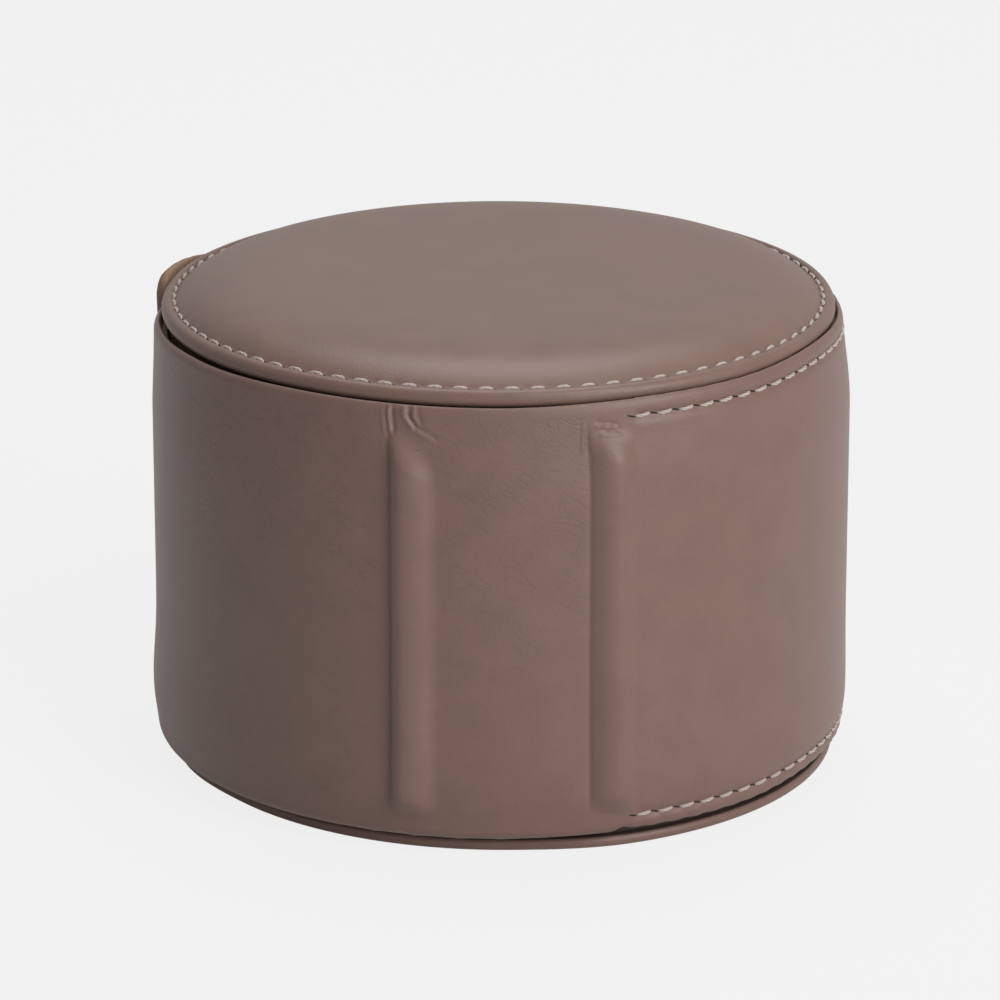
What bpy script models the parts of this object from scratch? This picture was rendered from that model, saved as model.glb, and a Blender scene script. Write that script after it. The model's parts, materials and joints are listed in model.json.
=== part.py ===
"""Watch roll: a leather drum with padded end discs, a stitched flap and a watch cushion.

The drum stands on its base disc, its axis along +Z and its front towards -Y.
Angles round the drum are in degrees from the front towards +X.
"""

import math

import bmesh
import bpy

# Gap between neighbouring pieces
CLEARANCE = 0.0003

# Side wall, from the outer face inwards
DRUM_RADIUS = 0.0500
SIDE_LEATHER = 0.0011
SIDE_STIFFENER = 0.0012
SIDE_LINING = 0.0009
LINING_HEIGHT = 0.0599
HEM_WIDTH = 0.0046
EDGE_ROUND = 0.0009
RIM_OVERLAP_GAP = 0.00035

# Fixed part of the side, which carries the two ribs
WALL_START = -97.0
WALL_BASE_OVERLAP = 0.0012
WALL_TOP_OVERLAP = 0.0013
WALL_TOP_DROOP = 0.0017

# Ribs and the stays under them
RIB_ANGLES = {"left": -13.9, "right": 18.0}
RIB_WIDTH = 0.0065
RIB_HEIGHT = 0.0012
RIB_LOW_INSET = 0.0011
RIB_HIGH_INSET = 0.0018
RIB_END_SLOPE = 0.0014
STAY_WIDTH = 0.0046

# Flap, which is cut into segments that unroll
FLAP_START = 22.3
FLAP_END_GAP = 0.000873
FLAP_SEGMENTS = ("flap_front", "flap_side", "flap_back", "flap_end")
FLAP_BASE_OVERLAP = 0.0010
FLAP_TOP_OVERLAP = 0.0013
FLAP_FRONT_RISE = 0.0009
FLAP_FRONT_RISE_ANGLE = 50.0
FLAP_END_RISE = 0.0012
FLAP_END_RISE_ANGLE = 58.0
FLAP_CORNER = 0.0060
STITCH_MARGIN = 0.0026
LINING_INSET = 0.0008

# How far points that a rounded corner has passed stay apart
POINT_STEP = 0.0001

# Thread and the groove it lies in
THREAD_RADIUS = 0.00025
GROOVE_DEPTH = 0.0007
GROOVE_FLOOR = 0.0009
GROOVE_MOUTH = 0.0015
BASE_THREAD_LIFT = 0.00005

# End discs, whose rims stand in from the side's outer face
RIM_INSET = 0.0019
RIM_STITCH_MARGIN = 0.00177
DISC_SKIN = 0.0012
DISC_LINING = 0.0008
BASE_BOARD = 0.0021
TOP_BOARD = 0.0014
TOP_RIM_HEIGHT = 0.0034
TOP_CROWN = 0.00338
CROWN_POWER = 9
PAD_EDGE_INSET = 0.0013
RIM_LIP = 0.0003
BEAD_TO_GROOVE = 0.0001

# Tongue that the flap end closes over, and the magnets
TONGUE_LAP = 0.0061
TONGUE_LEATHER = 0.0008
TONGUE_STIFFENER = 0.0012
TONGUE_LINING = 0.0007
TONGUE_END_INSET = 0.00795
TONGUE_CORNER = 0.0060
TONGUE_STIFFENER_INSET = 0.0020
MAGNET_RADIUS = 0.0040
MAGNET_THICKNESS = 0.0008
MAGNET_FROM_FLAP_END = 0.00873
MAGNET_TO_TONGUE_EDGE = 0.0070
MAGNET_TO_TONGUE_END = 0.00785
HOLE_DEPTH = 0.0050

# Watch cushion
CUSHION_RADIUS = 0.0290
CUSHION_COVER = 0.0012
CUSHION_CAP = 0.0015
CUSHION_EDGE = 0.0010

# Fineness of the meshes
ANGLE_STEP = 5.0
LEAST_STEP = 0.4
DISC_STEPS = 48
CUSHION_STEPS = 36
BEAD_STEPS = 5
CROWN_STEPS = 6
CORNER_STEPS = 5
EDGE_STEPS = 2
MAGNET_SIDES = 20
END_CORNER_STATIONS = 2
RIB_SHARES = (-1, -0.85, -0.6, -0.3, 0, 0.3, 0.6, 0.85, 1)
STAY_SHARES = (-1, -0.6, -0.2, 0.2, 0.6, 1)
SHARP_ANGLE = 35.0
MERGE_DISTANCE = 1e-6

# Radii of the discs and their stitching
DISC_RADIUS = DRUM_RADIUS - RIM_INSET
DISC_STITCH_RADIUS = DISC_RADIUS - RIM_STITCH_MARGIN

# Radii of the layers of the side
LEATHER_IN = DRUM_RADIUS - SIDE_LEATHER
STIFFENER_OUT = LEATHER_IN - CLEARANCE
STIFFENER_IN = STIFFENER_OUT - SIDE_STIFFENER
LINING_OUT = STIFFENER_IN - CLEARANCE
LINING_IN = LINING_OUT - SIDE_LINING
HEM_IN = LINING_OUT + CLEARANCE
RIM_SIDE_IN = DISC_RADIUS + RIM_OVERLAP_GAP
BOARD_RADIUS = DISC_RADIUS - DISC_SKIN - CLEARANCE
DISC_LINING_RADIUS = LINING_IN - CLEARANCE

# Heights of the layers of the base and the top
BASE_RIM_HEIGHT = DISC_SKIN + CLEARANCE + BASE_BOARD
LINING_LOW = BASE_RIM_HEIGHT + CLEARANCE
LINING_HIGH = LINING_LOW + LINING_HEIGHT
TOP_RIM_LOW = LINING_HIGH + CLEARANCE
TOP_BOARD_HIGH = TOP_RIM_LOW + TOP_BOARD
TOP_STITCH_HIGH = TOP_BOARD_HIGH + CLEARANCE + DISC_SKIN
BASE_THREAD_HEIGHT = BASE_THREAD_LIFT + THREAD_RADIUS
BASE_GROOVE_DEPTH = BASE_THREAD_HEIGHT + THREAD_RADIUS + CLEARANCE
CUSHION_LOW = LINING_LOW + DISC_LINING + CLEARANCE
CUSHION_HIGH = LINING_HIGH - DISC_LINING - CLEARANCE
HEM_LOW = LINING_LOW + HEM_WIDTH
HEM_HIGH = LINING_HIGH - HEM_WIDTH
MIDDLE = (LINING_LOW + LINING_HIGH) / 2

# Heights of the edges of the side, the flap, the ribs and the tongue
WALL_LOW_EDGE = BASE_RIM_HEIGHT - WALL_BASE_OVERLAP
WALL_HIGH_EDGE = TOP_RIM_LOW + WALL_TOP_OVERLAP
FLAP_LOW_EDGE = BASE_RIM_HEIGHT - FLAP_BASE_OVERLAP
FLAP_HIGH_EDGE = TOP_RIM_LOW + FLAP_TOP_OVERLAP
RIB_LOW_END = LINING_LOW + RIB_LOW_INSET
RIB_HIGH_END = LINING_HIGH - RIB_HIGH_INSET
TONGUE_HEIGHT = LINING_HEIGHT - 2 * TONGUE_END_INSET
MAGNET_SPACING = TONGUE_HEIGHT - 2 * MAGNET_TO_TONGUE_EDGE

# Radii of the layers of the tongue
TONGUE_OUT = LINING_IN - CLEARANCE
TONGUE_STIFFENER_OUT = TONGUE_OUT - TONGUE_LEATHER - CLEARANCE
TONGUE_STIFFENER_IN = TONGUE_STIFFENER_OUT - TONGUE_STIFFENER
TONGUE_LINING_OUT = TONGUE_STIFFENER_IN - CLEARANCE

CROWN_RADIUS = DISC_STITCH_RADIUS - GROOVE_MOUTH / 2
RIM_WALL_IN = DISC_RADIUS - DISC_SKIN
MAGNET_HEIGHTS = {
    "lower": MIDDLE - MAGNET_SPACING / 2,
    "upper": MIDDLE + MAGNET_SPACING / 2,
}

MATERIALS = {
    "leather": ((0.235, 0.168, 0.143), 0.48, 0.0),
    "lining": ((0.330, 0.200, 0.130), 0.90, 0.0),
    "board": ((0.420, 0.350, 0.270), 0.85, 0.0),
    "foam": ((0.620, 0.580, 0.470), 0.95, 0.0),
    "thread": ((0.640, 0.580, 0.520), 0.70, 0.0),
    "stay": ((0.060, 0.060, 0.065), 0.55, 0.0),
    "magnet": ((0.560, 0.570, 0.580), 0.28, 1.0),
    "suede": ((0.300, 0.215, 0.170), 0.95, 0.0),
}


def clear_scene():
    for thing in list(bpy.data.objects):
        bpy.data.objects.remove(thing)


def material(name):
    made = bpy.data.materials.get(name)
    if made:
        return made
    colour, roughness, metallic = MATERIALS[name]
    made = bpy.data.materials.new(name)
    made.use_nodes = True
    surface = made.node_tree.nodes["Principled BSDF"]
    surface.inputs["Base Color"].default_value = (*colour, 1.0)
    surface.inputs["Roughness"].default_value = roughness
    surface.inputs["Metallic"].default_value = metallic
    made.diffuse_color = (*colour, 1.0)
    return made


def finish_mesh(name, bm, kind):
    """Turns a closed bmesh into an object with outward faces and its material."""
    bmesh.ops.remove_doubles(bm, verts=bm.verts, dist=MERGE_DISTANCE)
    bmesh.ops.recalc_face_normals(bm, faces=bm.faces)
    mesh = bpy.data.meshes.new(name)
    bm.to_mesh(mesh)
    bm.free()
    mesh.shade_smooth()
    mesh.set_sharp_from_angle(angle=math.radians(SHARP_ANGLE))
    mesh.materials.append(material(kind))
    made = bpy.data.objects.new(name, mesh)
    bpy.context.scene.collection.objects.link(made)
    return made


def around(radius, angle, height):
    """A point at this radius, this many degrees round from the front."""
    turn = math.radians(angle)
    return (radius * math.sin(turn), -radius * math.cos(turn), height)


def arc_angle(length):
    """Degrees that this length takes round the drum."""
    return math.degrees(length / DRUM_RADIUS)


# Angles of the flap's end: its stitch row, where the long rows stop and where its hem starts
FLAP_END = 360 + WALL_START - arc_angle(FLAP_END_GAP)
FLAP_SEGMENT_ANGLE = (FLAP_END - FLAP_START) / len(FLAP_SEGMENTS)
END_ROW = FLAP_END - arc_angle(STITCH_MARGIN)
ROWS_END = FLAP_END - arc_angle(FLAP_CORNER)
END_HEM = FLAP_END - arc_angle(HEM_WIDTH - CLEARANCE)
MAGNET_ANGLE = FLAP_END - arc_angle(MAGNET_FROM_FLAP_END)

# Angles of the tongue's ends
TONGUE_ROOT = WALL_START + arc_angle(TONGUE_LAP)
TONGUE_END = MAGNET_ANGLE - 360 - arc_angle(MAGNET_TO_TONGUE_END)


def smooth_step(share):
    share = min(max(share, 0.0), 1.0)
    return share * share * (3 - 2 * share)


def stations(start, end, extra=()):
    """Evenly spaced angles from start to end, with the extra angles that lie between."""
    count = max(1, math.ceil((end - start) / ANGLE_STEP))
    angles = [start + (end - start) * i / count for i in range(count + 1)]
    added = [angle for angle in extra if start < angle < end]
    kept = [
        angle
        for angle in angles
        if angle in (start, end) or all(abs(angle - one) > LEAST_STEP for one in added)
    ]
    return sorted(kept + added)


def sweep(name, kind, angles, section):
    """Joins the closed (radius, height) section at each angle into one curved solid."""
    bm = bmesh.new()
    rings = []
    for angle in angles:
        ring = [bm.verts.new(around(r, angle, z)) for r, z in section(angle)]
        rings.append(ring)
    for ring, following in zip(rings, rings[1:]):
        for i in range(len(ring)):
            j = (i + 1) % len(ring)
            bm.faces.new((ring[i], ring[j], following[j], following[i]))
    bm.faces.new(rings[0])
    bm.faces.new(rings[-1])
    return finish_mesh(name, bm, kind)


def lathe(name, kind, profile, steps, closed):
    """Turns a (radius, height) profile round the drum axis into one solid."""
    bm = bmesh.new()
    verts = [bm.verts.new((r, 0.0, z)) for r, z in profile]
    edges = [bm.edges.new(pair) for pair in zip(verts, verts[1:])]
    if closed:
        edges.append(bm.edges.new((verts[-1], verts[0])))
    bmesh.ops.spin(
        bm,
        geom=verts + edges,
        cent=(0.0, 0.0, 0.0),
        axis=(0.0, 0.0, 1.0),
        angle=math.tau,
        steps=steps,
        use_merge=True,
    )
    return finish_mesh(name, bm, kind)


def disc(name, kind, radius, low, high, steps=DISC_STEPS):
    profile = [(0.0, low), (radius, low), (radius, high), (0.0, high)]
    return lathe(name, kind, profile, steps, closed=False)


def thread_run(name, points, cyclic=False):
    """A round thread through these points."""
    curve = bpy.data.curves.new(name, "CURVE")
    curve.dimensions = "3D"
    curve.bevel_depth = THREAD_RADIUS
    curve.bevel_resolution = 1
    curve.use_fill_caps = not cyclic
    spline = curve.splines.new("POLY")
    spline.points.add(len(points) - 1)
    for point, place in zip(spline.points, points):
        point.co = (*place, 1.0)
    spline.use_cyclic_u = cyclic
    curve.materials.append(material("thread"))
    made = bpy.data.objects.new(name, curve)
    bpy.context.scene.collection.objects.link(made)
    return made


def thread_depth():
    """How far under the leather's face the thread's centre lies."""
    return GROOVE_DEPTH - CLEARANCE - THREAD_RADIUS


def rib_profile(angle):
    """How much of the rib's height the leather has at this angle, from 0 to 1."""
    most = 0.0
    for centre in RIB_ANGLES.values():
        share = (angle - centre) / arc_angle(RIB_WIDTH / 2)
        most = max(most, 1 - share * share)
    return most


def rib_stations():
    half = arc_angle(RIB_WIDTH / 2)
    return [centre + half * share for centre in RIB_ANGLES.values() for share in RIB_SHARES]


def wall_high_edge(angle):
    share = (FLAP_START - angle) / (FLAP_START - WALL_START)
    return WALL_HIGH_EDGE - WALL_TOP_DROOP * share


def flap_rise(angle):
    front = smooth_step((angle - FLAP_START) / FLAP_FRONT_RISE_ANGLE)
    end = smooth_step((angle - FLAP_END + FLAP_END_RISE_ANGLE) / FLAP_END_RISE_ANGLE)
    return FLAP_FRONT_RISE * front + FLAP_END_RISE * end


def corner_cut(distance, corner):
    """Height that a rounded corner takes off an edge, this far from the end."""
    inside = corner - distance
    if inside <= 0:
        return 0.0
    return corner - math.sqrt(max(corner * corner - inside * inside, 0.0))


def flap_edges(angle):
    """The flap's low and high edge, rounded at the flap's end."""
    distance = math.radians(FLAP_END - angle) * DRUM_RADIUS
    cut = corner_cut(distance, FLAP_CORNER)
    rise = flap_rise(angle)
    return FLAP_LOW_EDGE + rise + cut, FLAP_HIGH_EDGE + rise - cut


def flap_rows(angle):
    """Heights of the flap's two stitch rows."""
    rise = flap_rise(angle)
    return (
        FLAP_LOW_EDGE + rise + STITCH_MARGIN,
        FLAP_HIGH_EDGE + rise - STITCH_MARGIN,
    )


def corner_stations(end, corner, sign=1):
    """Angles that follow a rounded corner before the end."""
    shares = [1 - math.cos(math.pi / 2 * i / CORNER_STEPS) for i in range(1, CORNER_STEPS + 1)]
    return [end - sign * arc_angle(corner * share) for share in shares]


def inner_points(low, high, pocket):
    """Inner side of the side leather, from the high edge down to the low edge.

    The turned hems are thick enough to meet the lining, and thin where they pass the rims.
    """
    high_step = min(high - EDGE_ROUND, LINING_HIGH)
    low_step = max(low + EDGE_ROUND, LINING_LOW)
    hem_high = min(HEM_HIGH, high_step - POINT_STEP)
    hem_low = max(HEM_LOW, low_step + POINT_STEP)
    return [
        (RIM_SIDE_IN, high),
        (RIM_SIDE_IN, high_step),
        (HEM_IN, high_step),
        (HEM_IN, hem_high),
        (pocket, hem_high),
        (pocket, hem_low),
        (HEM_IN, hem_low),
        (HEM_IN, low_step),
        (RIM_SIDE_IN, low_step),
        (RIM_SIDE_IN, low),
    ]


def edge_points(low, high):
    """Outer points of the rounded low edge and of the rounded high edge."""
    turns = [math.pi / 2 * i / EDGE_STEPS for i in range(EDGE_STEPS + 1)]
    rounds = [
        (DRUM_RADIUS - EDGE_ROUND * (1 - math.sin(t)), EDGE_ROUND * (1 - math.cos(t)))
        for t in turns
    ]
    low_points = [(r, low + rise) for r, rise in rounds]
    high_points = [(r, high - rise) for r, rise in reversed(rounds)]
    return low_points, high_points


def side_section(angle):
    """Section of the fixed side leather, with the ribs."""
    low, high = WALL_LOW_EDGE, wall_high_edge(angle)
    low_points, high_points = edge_points(low, high)
    rib = RIB_HEIGHT * rib_profile(angle)
    crest = DRUM_RADIUS + rib
    outer = [
        (DRUM_RADIUS, RIB_LOW_END),
        (crest, RIB_LOW_END + RIB_END_SLOPE),
        (crest, RIB_HIGH_END - RIB_END_SLOPE),
        (DRUM_RADIUS, RIB_HIGH_END),
    ]
    return low_points + outer + high_points + inner_points(low, high, LEATHER_IN + rib)


def groove_points(height, floor):
    """Outer points across a stitch groove, from low to high."""
    return [
        (DRUM_RADIUS, height - GROOVE_MOUTH / 2),
        (floor, height - GROOVE_FLOOR / 2),
        (floor, height + GROOVE_FLOOR / 2),
        (DRUM_RADIUS, height + GROOVE_MOUTH / 2),
    ]


def flap_section(angle):
    """Section of the flap's leather before its rounded end."""
    low, high = flap_edges(angle)
    row_low, row_high = flap_rows(angle)
    floor = DRUM_RADIUS - GROOVE_DEPTH
    low_points, high_points = edge_points(low, high)
    outer = groove_points(row_low, floor) + groove_points(row_high, floor)
    return low_points + outer + high_points + inner_points(low, high, LEATHER_IN)


def end_stations():
    """Angles where the end of the flap changes its section."""
    mouth, floor = arc_angle(GROOVE_MOUTH / 2), arc_angle(GROOVE_FLOOR / 2)
    grooves = [END_ROW - mouth, END_ROW - floor, END_ROW + floor, END_ROW + mouth]
    hem = [END_HEM, END_HEM + arc_angle(CLEARANCE)]
    corner = corner_stations(FLAP_END, FLAP_CORNER)[:END_CORNER_STATIONS]
    return [ROWS_END] + hem + grooves + corner


def flap_end_section(angle):
    """Section of the flap's last leather, with the stitch groove down its end."""
    low, high = flap_edges(angle)
    row_low, row_high = flap_rows(min(angle, ROWS_END))
    groove = DRUM_RADIUS - GROOVE_DEPTH
    in_rows = angle <= ROWS_END
    in_end_row = abs(angle - END_ROW) < arc_angle(GROOVE_MOUTH + GROOVE_FLOOR) / 4
    low_groove = groove_points(row_low, groove if in_rows else DRUM_RADIUS)
    high_groove = groove_points(row_high, groove if in_rows else DRUM_RADIUS)
    low_end, high_end = end_row_heights()
    floor = groove if in_end_row else DRUM_RADIUS
    middle = [
        (DRUM_RADIUS, low_end - GROOVE_DEPTH),
        (floor, low_end),
        (floor, high_end),
        (DRUM_RADIUS, high_end + GROOVE_DEPTH),
    ]
    low_points, high_points = edge_points(low, high)
    outer = kept_above(low_groove, low + EDGE_ROUND)
    outer += middle
    outer += kept_below(high_groove, high - EDGE_ROUND)
    pocket = LEATHER_IN if angle <= END_HEM else HEM_IN
    return low_points + outer + high_points + inner_points(low, high, pocket)


def end_row_heights():
    """Low and high end of the groove floor down the flap's end."""
    low, high = flap_edges(ROWS_END)
    reach = FLAP_CORNER + GROOVE_MOUTH + GROOVE_DEPTH
    return low + reach, high - reach


def kept_above(points, level):
    """Lifts the points that a rounded corner has passed to just above this level."""
    lifted = [level + POINT_STEP * (i + 1) for i in range(len(points))]
    return [(r, max(z, least)) for (r, z), least in zip(points, lifted)]


def kept_below(points, level):
    """Lowers the points that a rounded corner has passed to just below this level."""
    lowered = [level - POINT_STEP * (len(points) - i) for i in range(len(points))]
    return [(r, min(z, most)) for (r, z), most in zip(points, lowered)]


def slab_section(inner, outer, edges):
    """Section function of a plain layer between two radii."""

    def section(angle):
        low, high = edges(angle)
        return [(inner, low), (outer, low), (outer, high), (inner, high)]

    return section


def between_hems():
    """Section function of the stiffeners, which lie between the hems."""
    return slab_section(
        STIFFENER_IN,
        STIFFENER_OUT,
        lambda angle: (HEM_LOW + CLEARANCE, HEM_HIGH - CLEARANCE),
    )


def bead_points(centre, height, radius, start, end):
    """Points on the round bead of a disc's rim, between two angles in radians."""
    turns = [start + (end - start) * i / BEAD_STEPS for i in range(BEAD_STEPS + 1)]
    return [(centre + radius * math.cos(t), height + radius * math.sin(t)) for t in turns]


def ring_points(radius, height):
    return [around(radius, 360 * i / DISC_STEPS, height) for i in range(DISC_STEPS)]


def build_base():
    groove = DISC_STITCH_RADIUS
    bead = BASE_RIM_HEIGHT / 2
    centre = DISC_RADIUS - bead
    mouth = groove + GROOVE_MOUTH / 2
    profile = [
        (0.0, 0.0),
        (groove - GROOVE_MOUTH / 2, 0.0),
        (groove - GROOVE_FLOOR / 2, BASE_GROOVE_DEPTH),
        (groove + GROOVE_FLOOR / 2, BASE_GROOVE_DEPTH),
        (mouth, 0.0),
    ]
    lowest = -math.acos((mouth + BEAD_TO_GROOVE - centre) / bead)
    highest = math.acos((RIM_WALL_IN + RIM_LIP - centre) / bead)
    profile += bead_points(centre, bead, bead, lowest, highest)
    profile += [
        (RIM_WALL_IN, BASE_RIM_HEIGHT),
        (RIM_WALL_IN, DISC_SKIN),
        (0.0, DISC_SKIN),
    ]
    lathe("base_cover", "leather", profile, DISC_STEPS, closed=False)
    disc("base_board", "board", BOARD_RADIUS, DISC_SKIN + CLEARANCE, BASE_RIM_HEIGHT)
    disc("base_lining", "lining", DISC_LINING_RADIUS, LINING_LOW, LINING_LOW + DISC_LINING)
    thread_run("base_thread", ring_points(groove, BASE_THREAD_HEIGHT), cyclic=True)


def crown(radius):
    """Height of the top cover's face over its stitch line."""
    return TOP_CROWN * (1 - (radius / CROWN_RADIUS) ** CROWN_POWER)


def crown_radii(outermost):
    shares = [1 - (i / CROWN_STEPS) ** 2 for i in range(CROWN_STEPS + 1)]
    return [outermost * share for share in shares]


def build_top():
    groove = DISC_STITCH_RADIUS
    bead = TOP_RIM_HEIGHT / 2
    centre = DISC_RADIUS - bead
    mouth = groove + GROOVE_MOUTH / 2
    face = TOP_STITCH_HIGH
    lowest = -math.acos((RIM_WALL_IN + RIM_LIP - centre) / bead)
    highest = math.acos((mouth + BEAD_TO_GROOVE - centre) / bead)
    radii = crown_radii(CROWN_RADIUS)
    profile = [(RIM_WALL_IN, TOP_RIM_LOW)]
    profile += bead_points(centre, TOP_RIM_LOW + bead, bead, lowest, highest)
    profile += [
        (mouth, face),
        (groove + GROOVE_FLOOR / 2, face - GROOVE_DEPTH),
        (groove - GROOVE_FLOOR / 2, face - GROOVE_DEPTH),
    ]
    profile += [(r, face + crown(r)) for r in radii]
    profile += [(r, face + crown(r) - DISC_SKIN) for r in reversed(radii)]
    profile += [(RIM_WALL_IN, face - DISC_SKIN)]
    lathe("top_cover", "leather", profile, DISC_STEPS, closed=True)

    under = face - DISC_SKIN - CLEARANCE
    pad_low = TOP_BOARD_HIGH + CLEARANCE
    pad_radii = crown_radii(CROWN_RADIUS - PAD_EDGE_INSET)
    pad = [(0.0, pad_low), (pad_radii[0], pad_low)]
    pad += [(r, under + crown(r)) for r in pad_radii]
    lathe("top_pad", "foam", pad, DISC_STEPS, closed=False)
    disc("top_board", "board", BOARD_RADIUS, TOP_RIM_LOW, TOP_BOARD_HIGH)
    disc("top_lining", "lining", DISC_LINING_RADIUS, LINING_HIGH - DISC_LINING, LINING_HIGH)
    thread_run("top_thread", ring_points(groove, face - thread_depth()), cyclic=True)


def build_side():
    end = FLAP_START - arc_angle(CLEARANCE / 2)
    plain = stations(WALL_START, end)
    sweep("side_leather", "leather", stations(WALL_START, end, rib_stations()), side_section)
    sweep("side_stiffener", "board", plain, between_hems())
    full = slab_section(
        LINING_IN,
        LINING_OUT,
        lambda angle: (LINING_LOW, min(LINING_HIGH, wall_high_edge(angle))),
    )
    sweep("side_lining", "lining", plain, full)


def build_stays():
    """The bars under the ribs, which fill the pockets in the leather."""
    half = arc_angle(STAY_WIDTH / 2)
    low, high = HEM_LOW + CLEARANCE, HEM_HIGH - CLEARANCE
    base = STIFFENER_OUT + CLEARANCE

    def section(angle):
        crest = LEATHER_IN + RIB_HEIGHT * rib_profile(angle) - CLEARANCE
        return [(base, low), (crest, low), (crest, high), (base, high)]

    for side, centre in RIB_ANGLES.items():
        angles = [centre + half * share for share in STAY_SHARES]
        sweep(f"spine_stay_{side}", "stay", angles, section)


def cut_magnet_holes(sheet, radius):
    """Cuts the two round magnet holes through a stiffener."""
    for height in MAGNET_HEIGHTS.values():
        cutter = magnet_cylinder(MAGNET_RADIUS + CLEARANCE, HOLE_DEPTH, radius, height)
        cutter.name = f"{sheet.name}_hole"
        cutter.hide_render = True
        cutter.display_type = "WIRE"
        cut = sheet.modifiers.new("magnet_hole", "BOOLEAN")
        cut.operation = "DIFFERENCE"
        cut.solver = "EXACT"
        cut.object = cutter


def magnet_cylinder(radius, thickness, distance, height):
    """A short cylinder at the magnets' angle, whose axis points out from the drum."""
    bm = bmesh.new()
    bmesh.ops.create_cone(
        bm,
        cap_ends=True,
        segments=MAGNET_SIDES,
        radius1=radius,
        radius2=radius,
        depth=thickness,
    )
    made = finish_mesh("magnet", bm, "magnet")
    made.rotation_euler = (math.pi / 2, 0.0, math.radians(MAGNET_ANGLE))
    made.location = around(distance, MAGNET_ANGLE, height)
    return made


def build_magnets(owner, radius):
    for level, height in MAGNET_HEIGHTS.items():
        magnet = magnet_cylinder(MAGNET_RADIUS, MAGNET_THICKNESS, radius, height)
        magnet.name = f"{owner}_magnet_{level}"


def tongue_edges(inset):
    """Low and high edge of a tongue layer, rounded at its free end."""

    def edges(angle):
        free = TONGUE_END + arc_angle(inset)
        distance = math.radians(angle - free) * DRUM_RADIUS
        cut = corner_cut(distance, TONGUE_CORNER - inset)
        half = TONGUE_HEIGHT / 2 - inset - cut
        return MIDDLE - half, MIDDLE + half

    return edges


def build_tongue():
    plies = (
        ("tongue_leather", "leather", TONGUE_OUT - TONGUE_LEATHER, TONGUE_OUT, 0.0),
        (
            "tongue_stiffener",
            "board",
            TONGUE_STIFFENER_IN,
            TONGUE_STIFFENER_OUT,
            TONGUE_STIFFENER_INSET,
        ),
        (
            "tongue_lining",
            "lining",
            TONGUE_LINING_OUT - TONGUE_LINING,
            TONGUE_LINING_OUT,
            0.0,
        ),
    )
    for name, kind, inner, outer, inset in plies:
        free = TONGUE_END + arc_angle(inset)
        corner = TONGUE_CORNER - inset
        angles = stations(free, TONGUE_ROOT, corner_stations(free, corner, sign=-1))
        layer = sweep(name, kind, angles, slab_section(inner, outer, tongue_edges(inset)))
        if name == "tongue_stiffener":
            cut_magnet_holes(layer, (inner + outer) / 2)
    middle = (TONGUE_STIFFENER_IN + TONGUE_STIFFENER_OUT) / 2
    build_magnets("tongue", middle)


def flap_lining_edges(angle):
    low, high = flap_edges(angle)
    return max(LINING_LOW, low + LINING_INSET), min(LINING_HIGH, high - LINING_INSET)


def row_points(start, end, which):
    angles = stations(start, end)
    radius = DRUM_RADIUS - thread_depth()
    return [around(radius, angle, flap_rows(angle)[which]) for angle in angles]


def build_flap_segment(index, name):
    half_gap = arc_angle(CLEARANCE / 2)
    start = FLAP_START + index * FLAP_SEGMENT_ANGLE + half_gap
    end = start + FLAP_SEGMENT_ANGLE - 2 * half_gap
    has_end = name == FLAP_SEGMENTS[-1]
    extra, lining_end, stiffener_end, rows_end = [], end, end, end
    section = flap_section
    if has_end:
        end = FLAP_END
        extra = end_stations()
        section = flap_end_section
        lining_end = FLAP_END - arc_angle(LINING_INSET)
        stiffener_end = FLAP_END - arc_angle(HEM_WIDTH)
        rows_end = ROWS_END - half_gap
    sweep(f"{name}_leather", "leather", stations(start, end, extra), section)
    stiffener_angles = stations(start, stiffener_end)
    stiffener = sweep(f"{name}_stiffener", "board", stiffener_angles, between_hems())
    lining_angles = stations(start, lining_end, extra)
    sweep(
        f"{name}_lining",
        "lining",
        lining_angles,
        slab_section(LINING_IN, LINING_OUT, flap_lining_edges),
    )
    for which, row in enumerate(("lower", "upper")):
        thread_run(f"{name}_thread_{row}", row_points(start, rows_end, which))
    if has_end:
        build_flap_end(stiffener)


def build_flap_end(stiffener):
    """The stitches down the flap's end, and the magnets in its stiffener."""
    low, high = end_row_heights()
    radius = DRUM_RADIUS - thread_depth()
    ends = (low + CLEARANCE, high - CLEARANCE)
    thread_run("flap_end_thread_edge", [around(radius, END_ROW, z) for z in ends])
    middle = (STIFFENER_IN + STIFFENER_OUT) / 2
    cut_magnet_holes(stiffener, middle)
    build_magnets("flap", middle)


def build_flap():
    for index, name in enumerate(FLAP_SEGMENTS):
        build_flap_segment(index, name)


def build_cushion():
    inner = CUSHION_RADIUS - CUSHION_COVER
    fill = inner - CLEARANCE
    low, high = CUSHION_LOW, CUSHION_HIGH
    edge = CUSHION_RADIUS - CUSHION_EDGE / 2
    profile = [
        (inner, low),
        (edge, low),
        (CUSHION_RADIUS, low + CUSHION_EDGE),
        (CUSHION_RADIUS, high - CUSHION_EDGE),
        (edge, high),
        (inner, high),
    ]
    lathe("cushion_cover", "suede", profile, CUSHION_STEPS, closed=True)
    disc("cushion_cap_lower", "suede", fill, low, low + CUSHION_CAP, CUSHION_STEPS)
    disc("cushion_cap_upper", "suede", fill, high - CUSHION_CAP, high, CUSHION_STEPS)
    core_low = low + CUSHION_CAP + CLEARANCE
    core_high = high - CUSHION_CAP - CLEARANCE
    disc("cushion_core", "foam", fill, core_low, core_high, CUSHION_STEPS)


def main():
    clear_scene()
    build_base()
    build_top()
    build_side()
    build_stays()
    build_tongue()
    build_flap()
    build_cushion()


main()
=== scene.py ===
"""Watch roll: leather, thread, linings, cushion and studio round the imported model.

The roll stands on its base disc, its axis along +Z and its front towards -Y.
Angles round the drum are in degrees from the front towards +X.
"""

import json
import math

import bpy
import numpy as np
from bpy.props import FloatProperty, FloatVectorProperty, PointerProperty
from mathutils import Matrix, Vector


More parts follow.
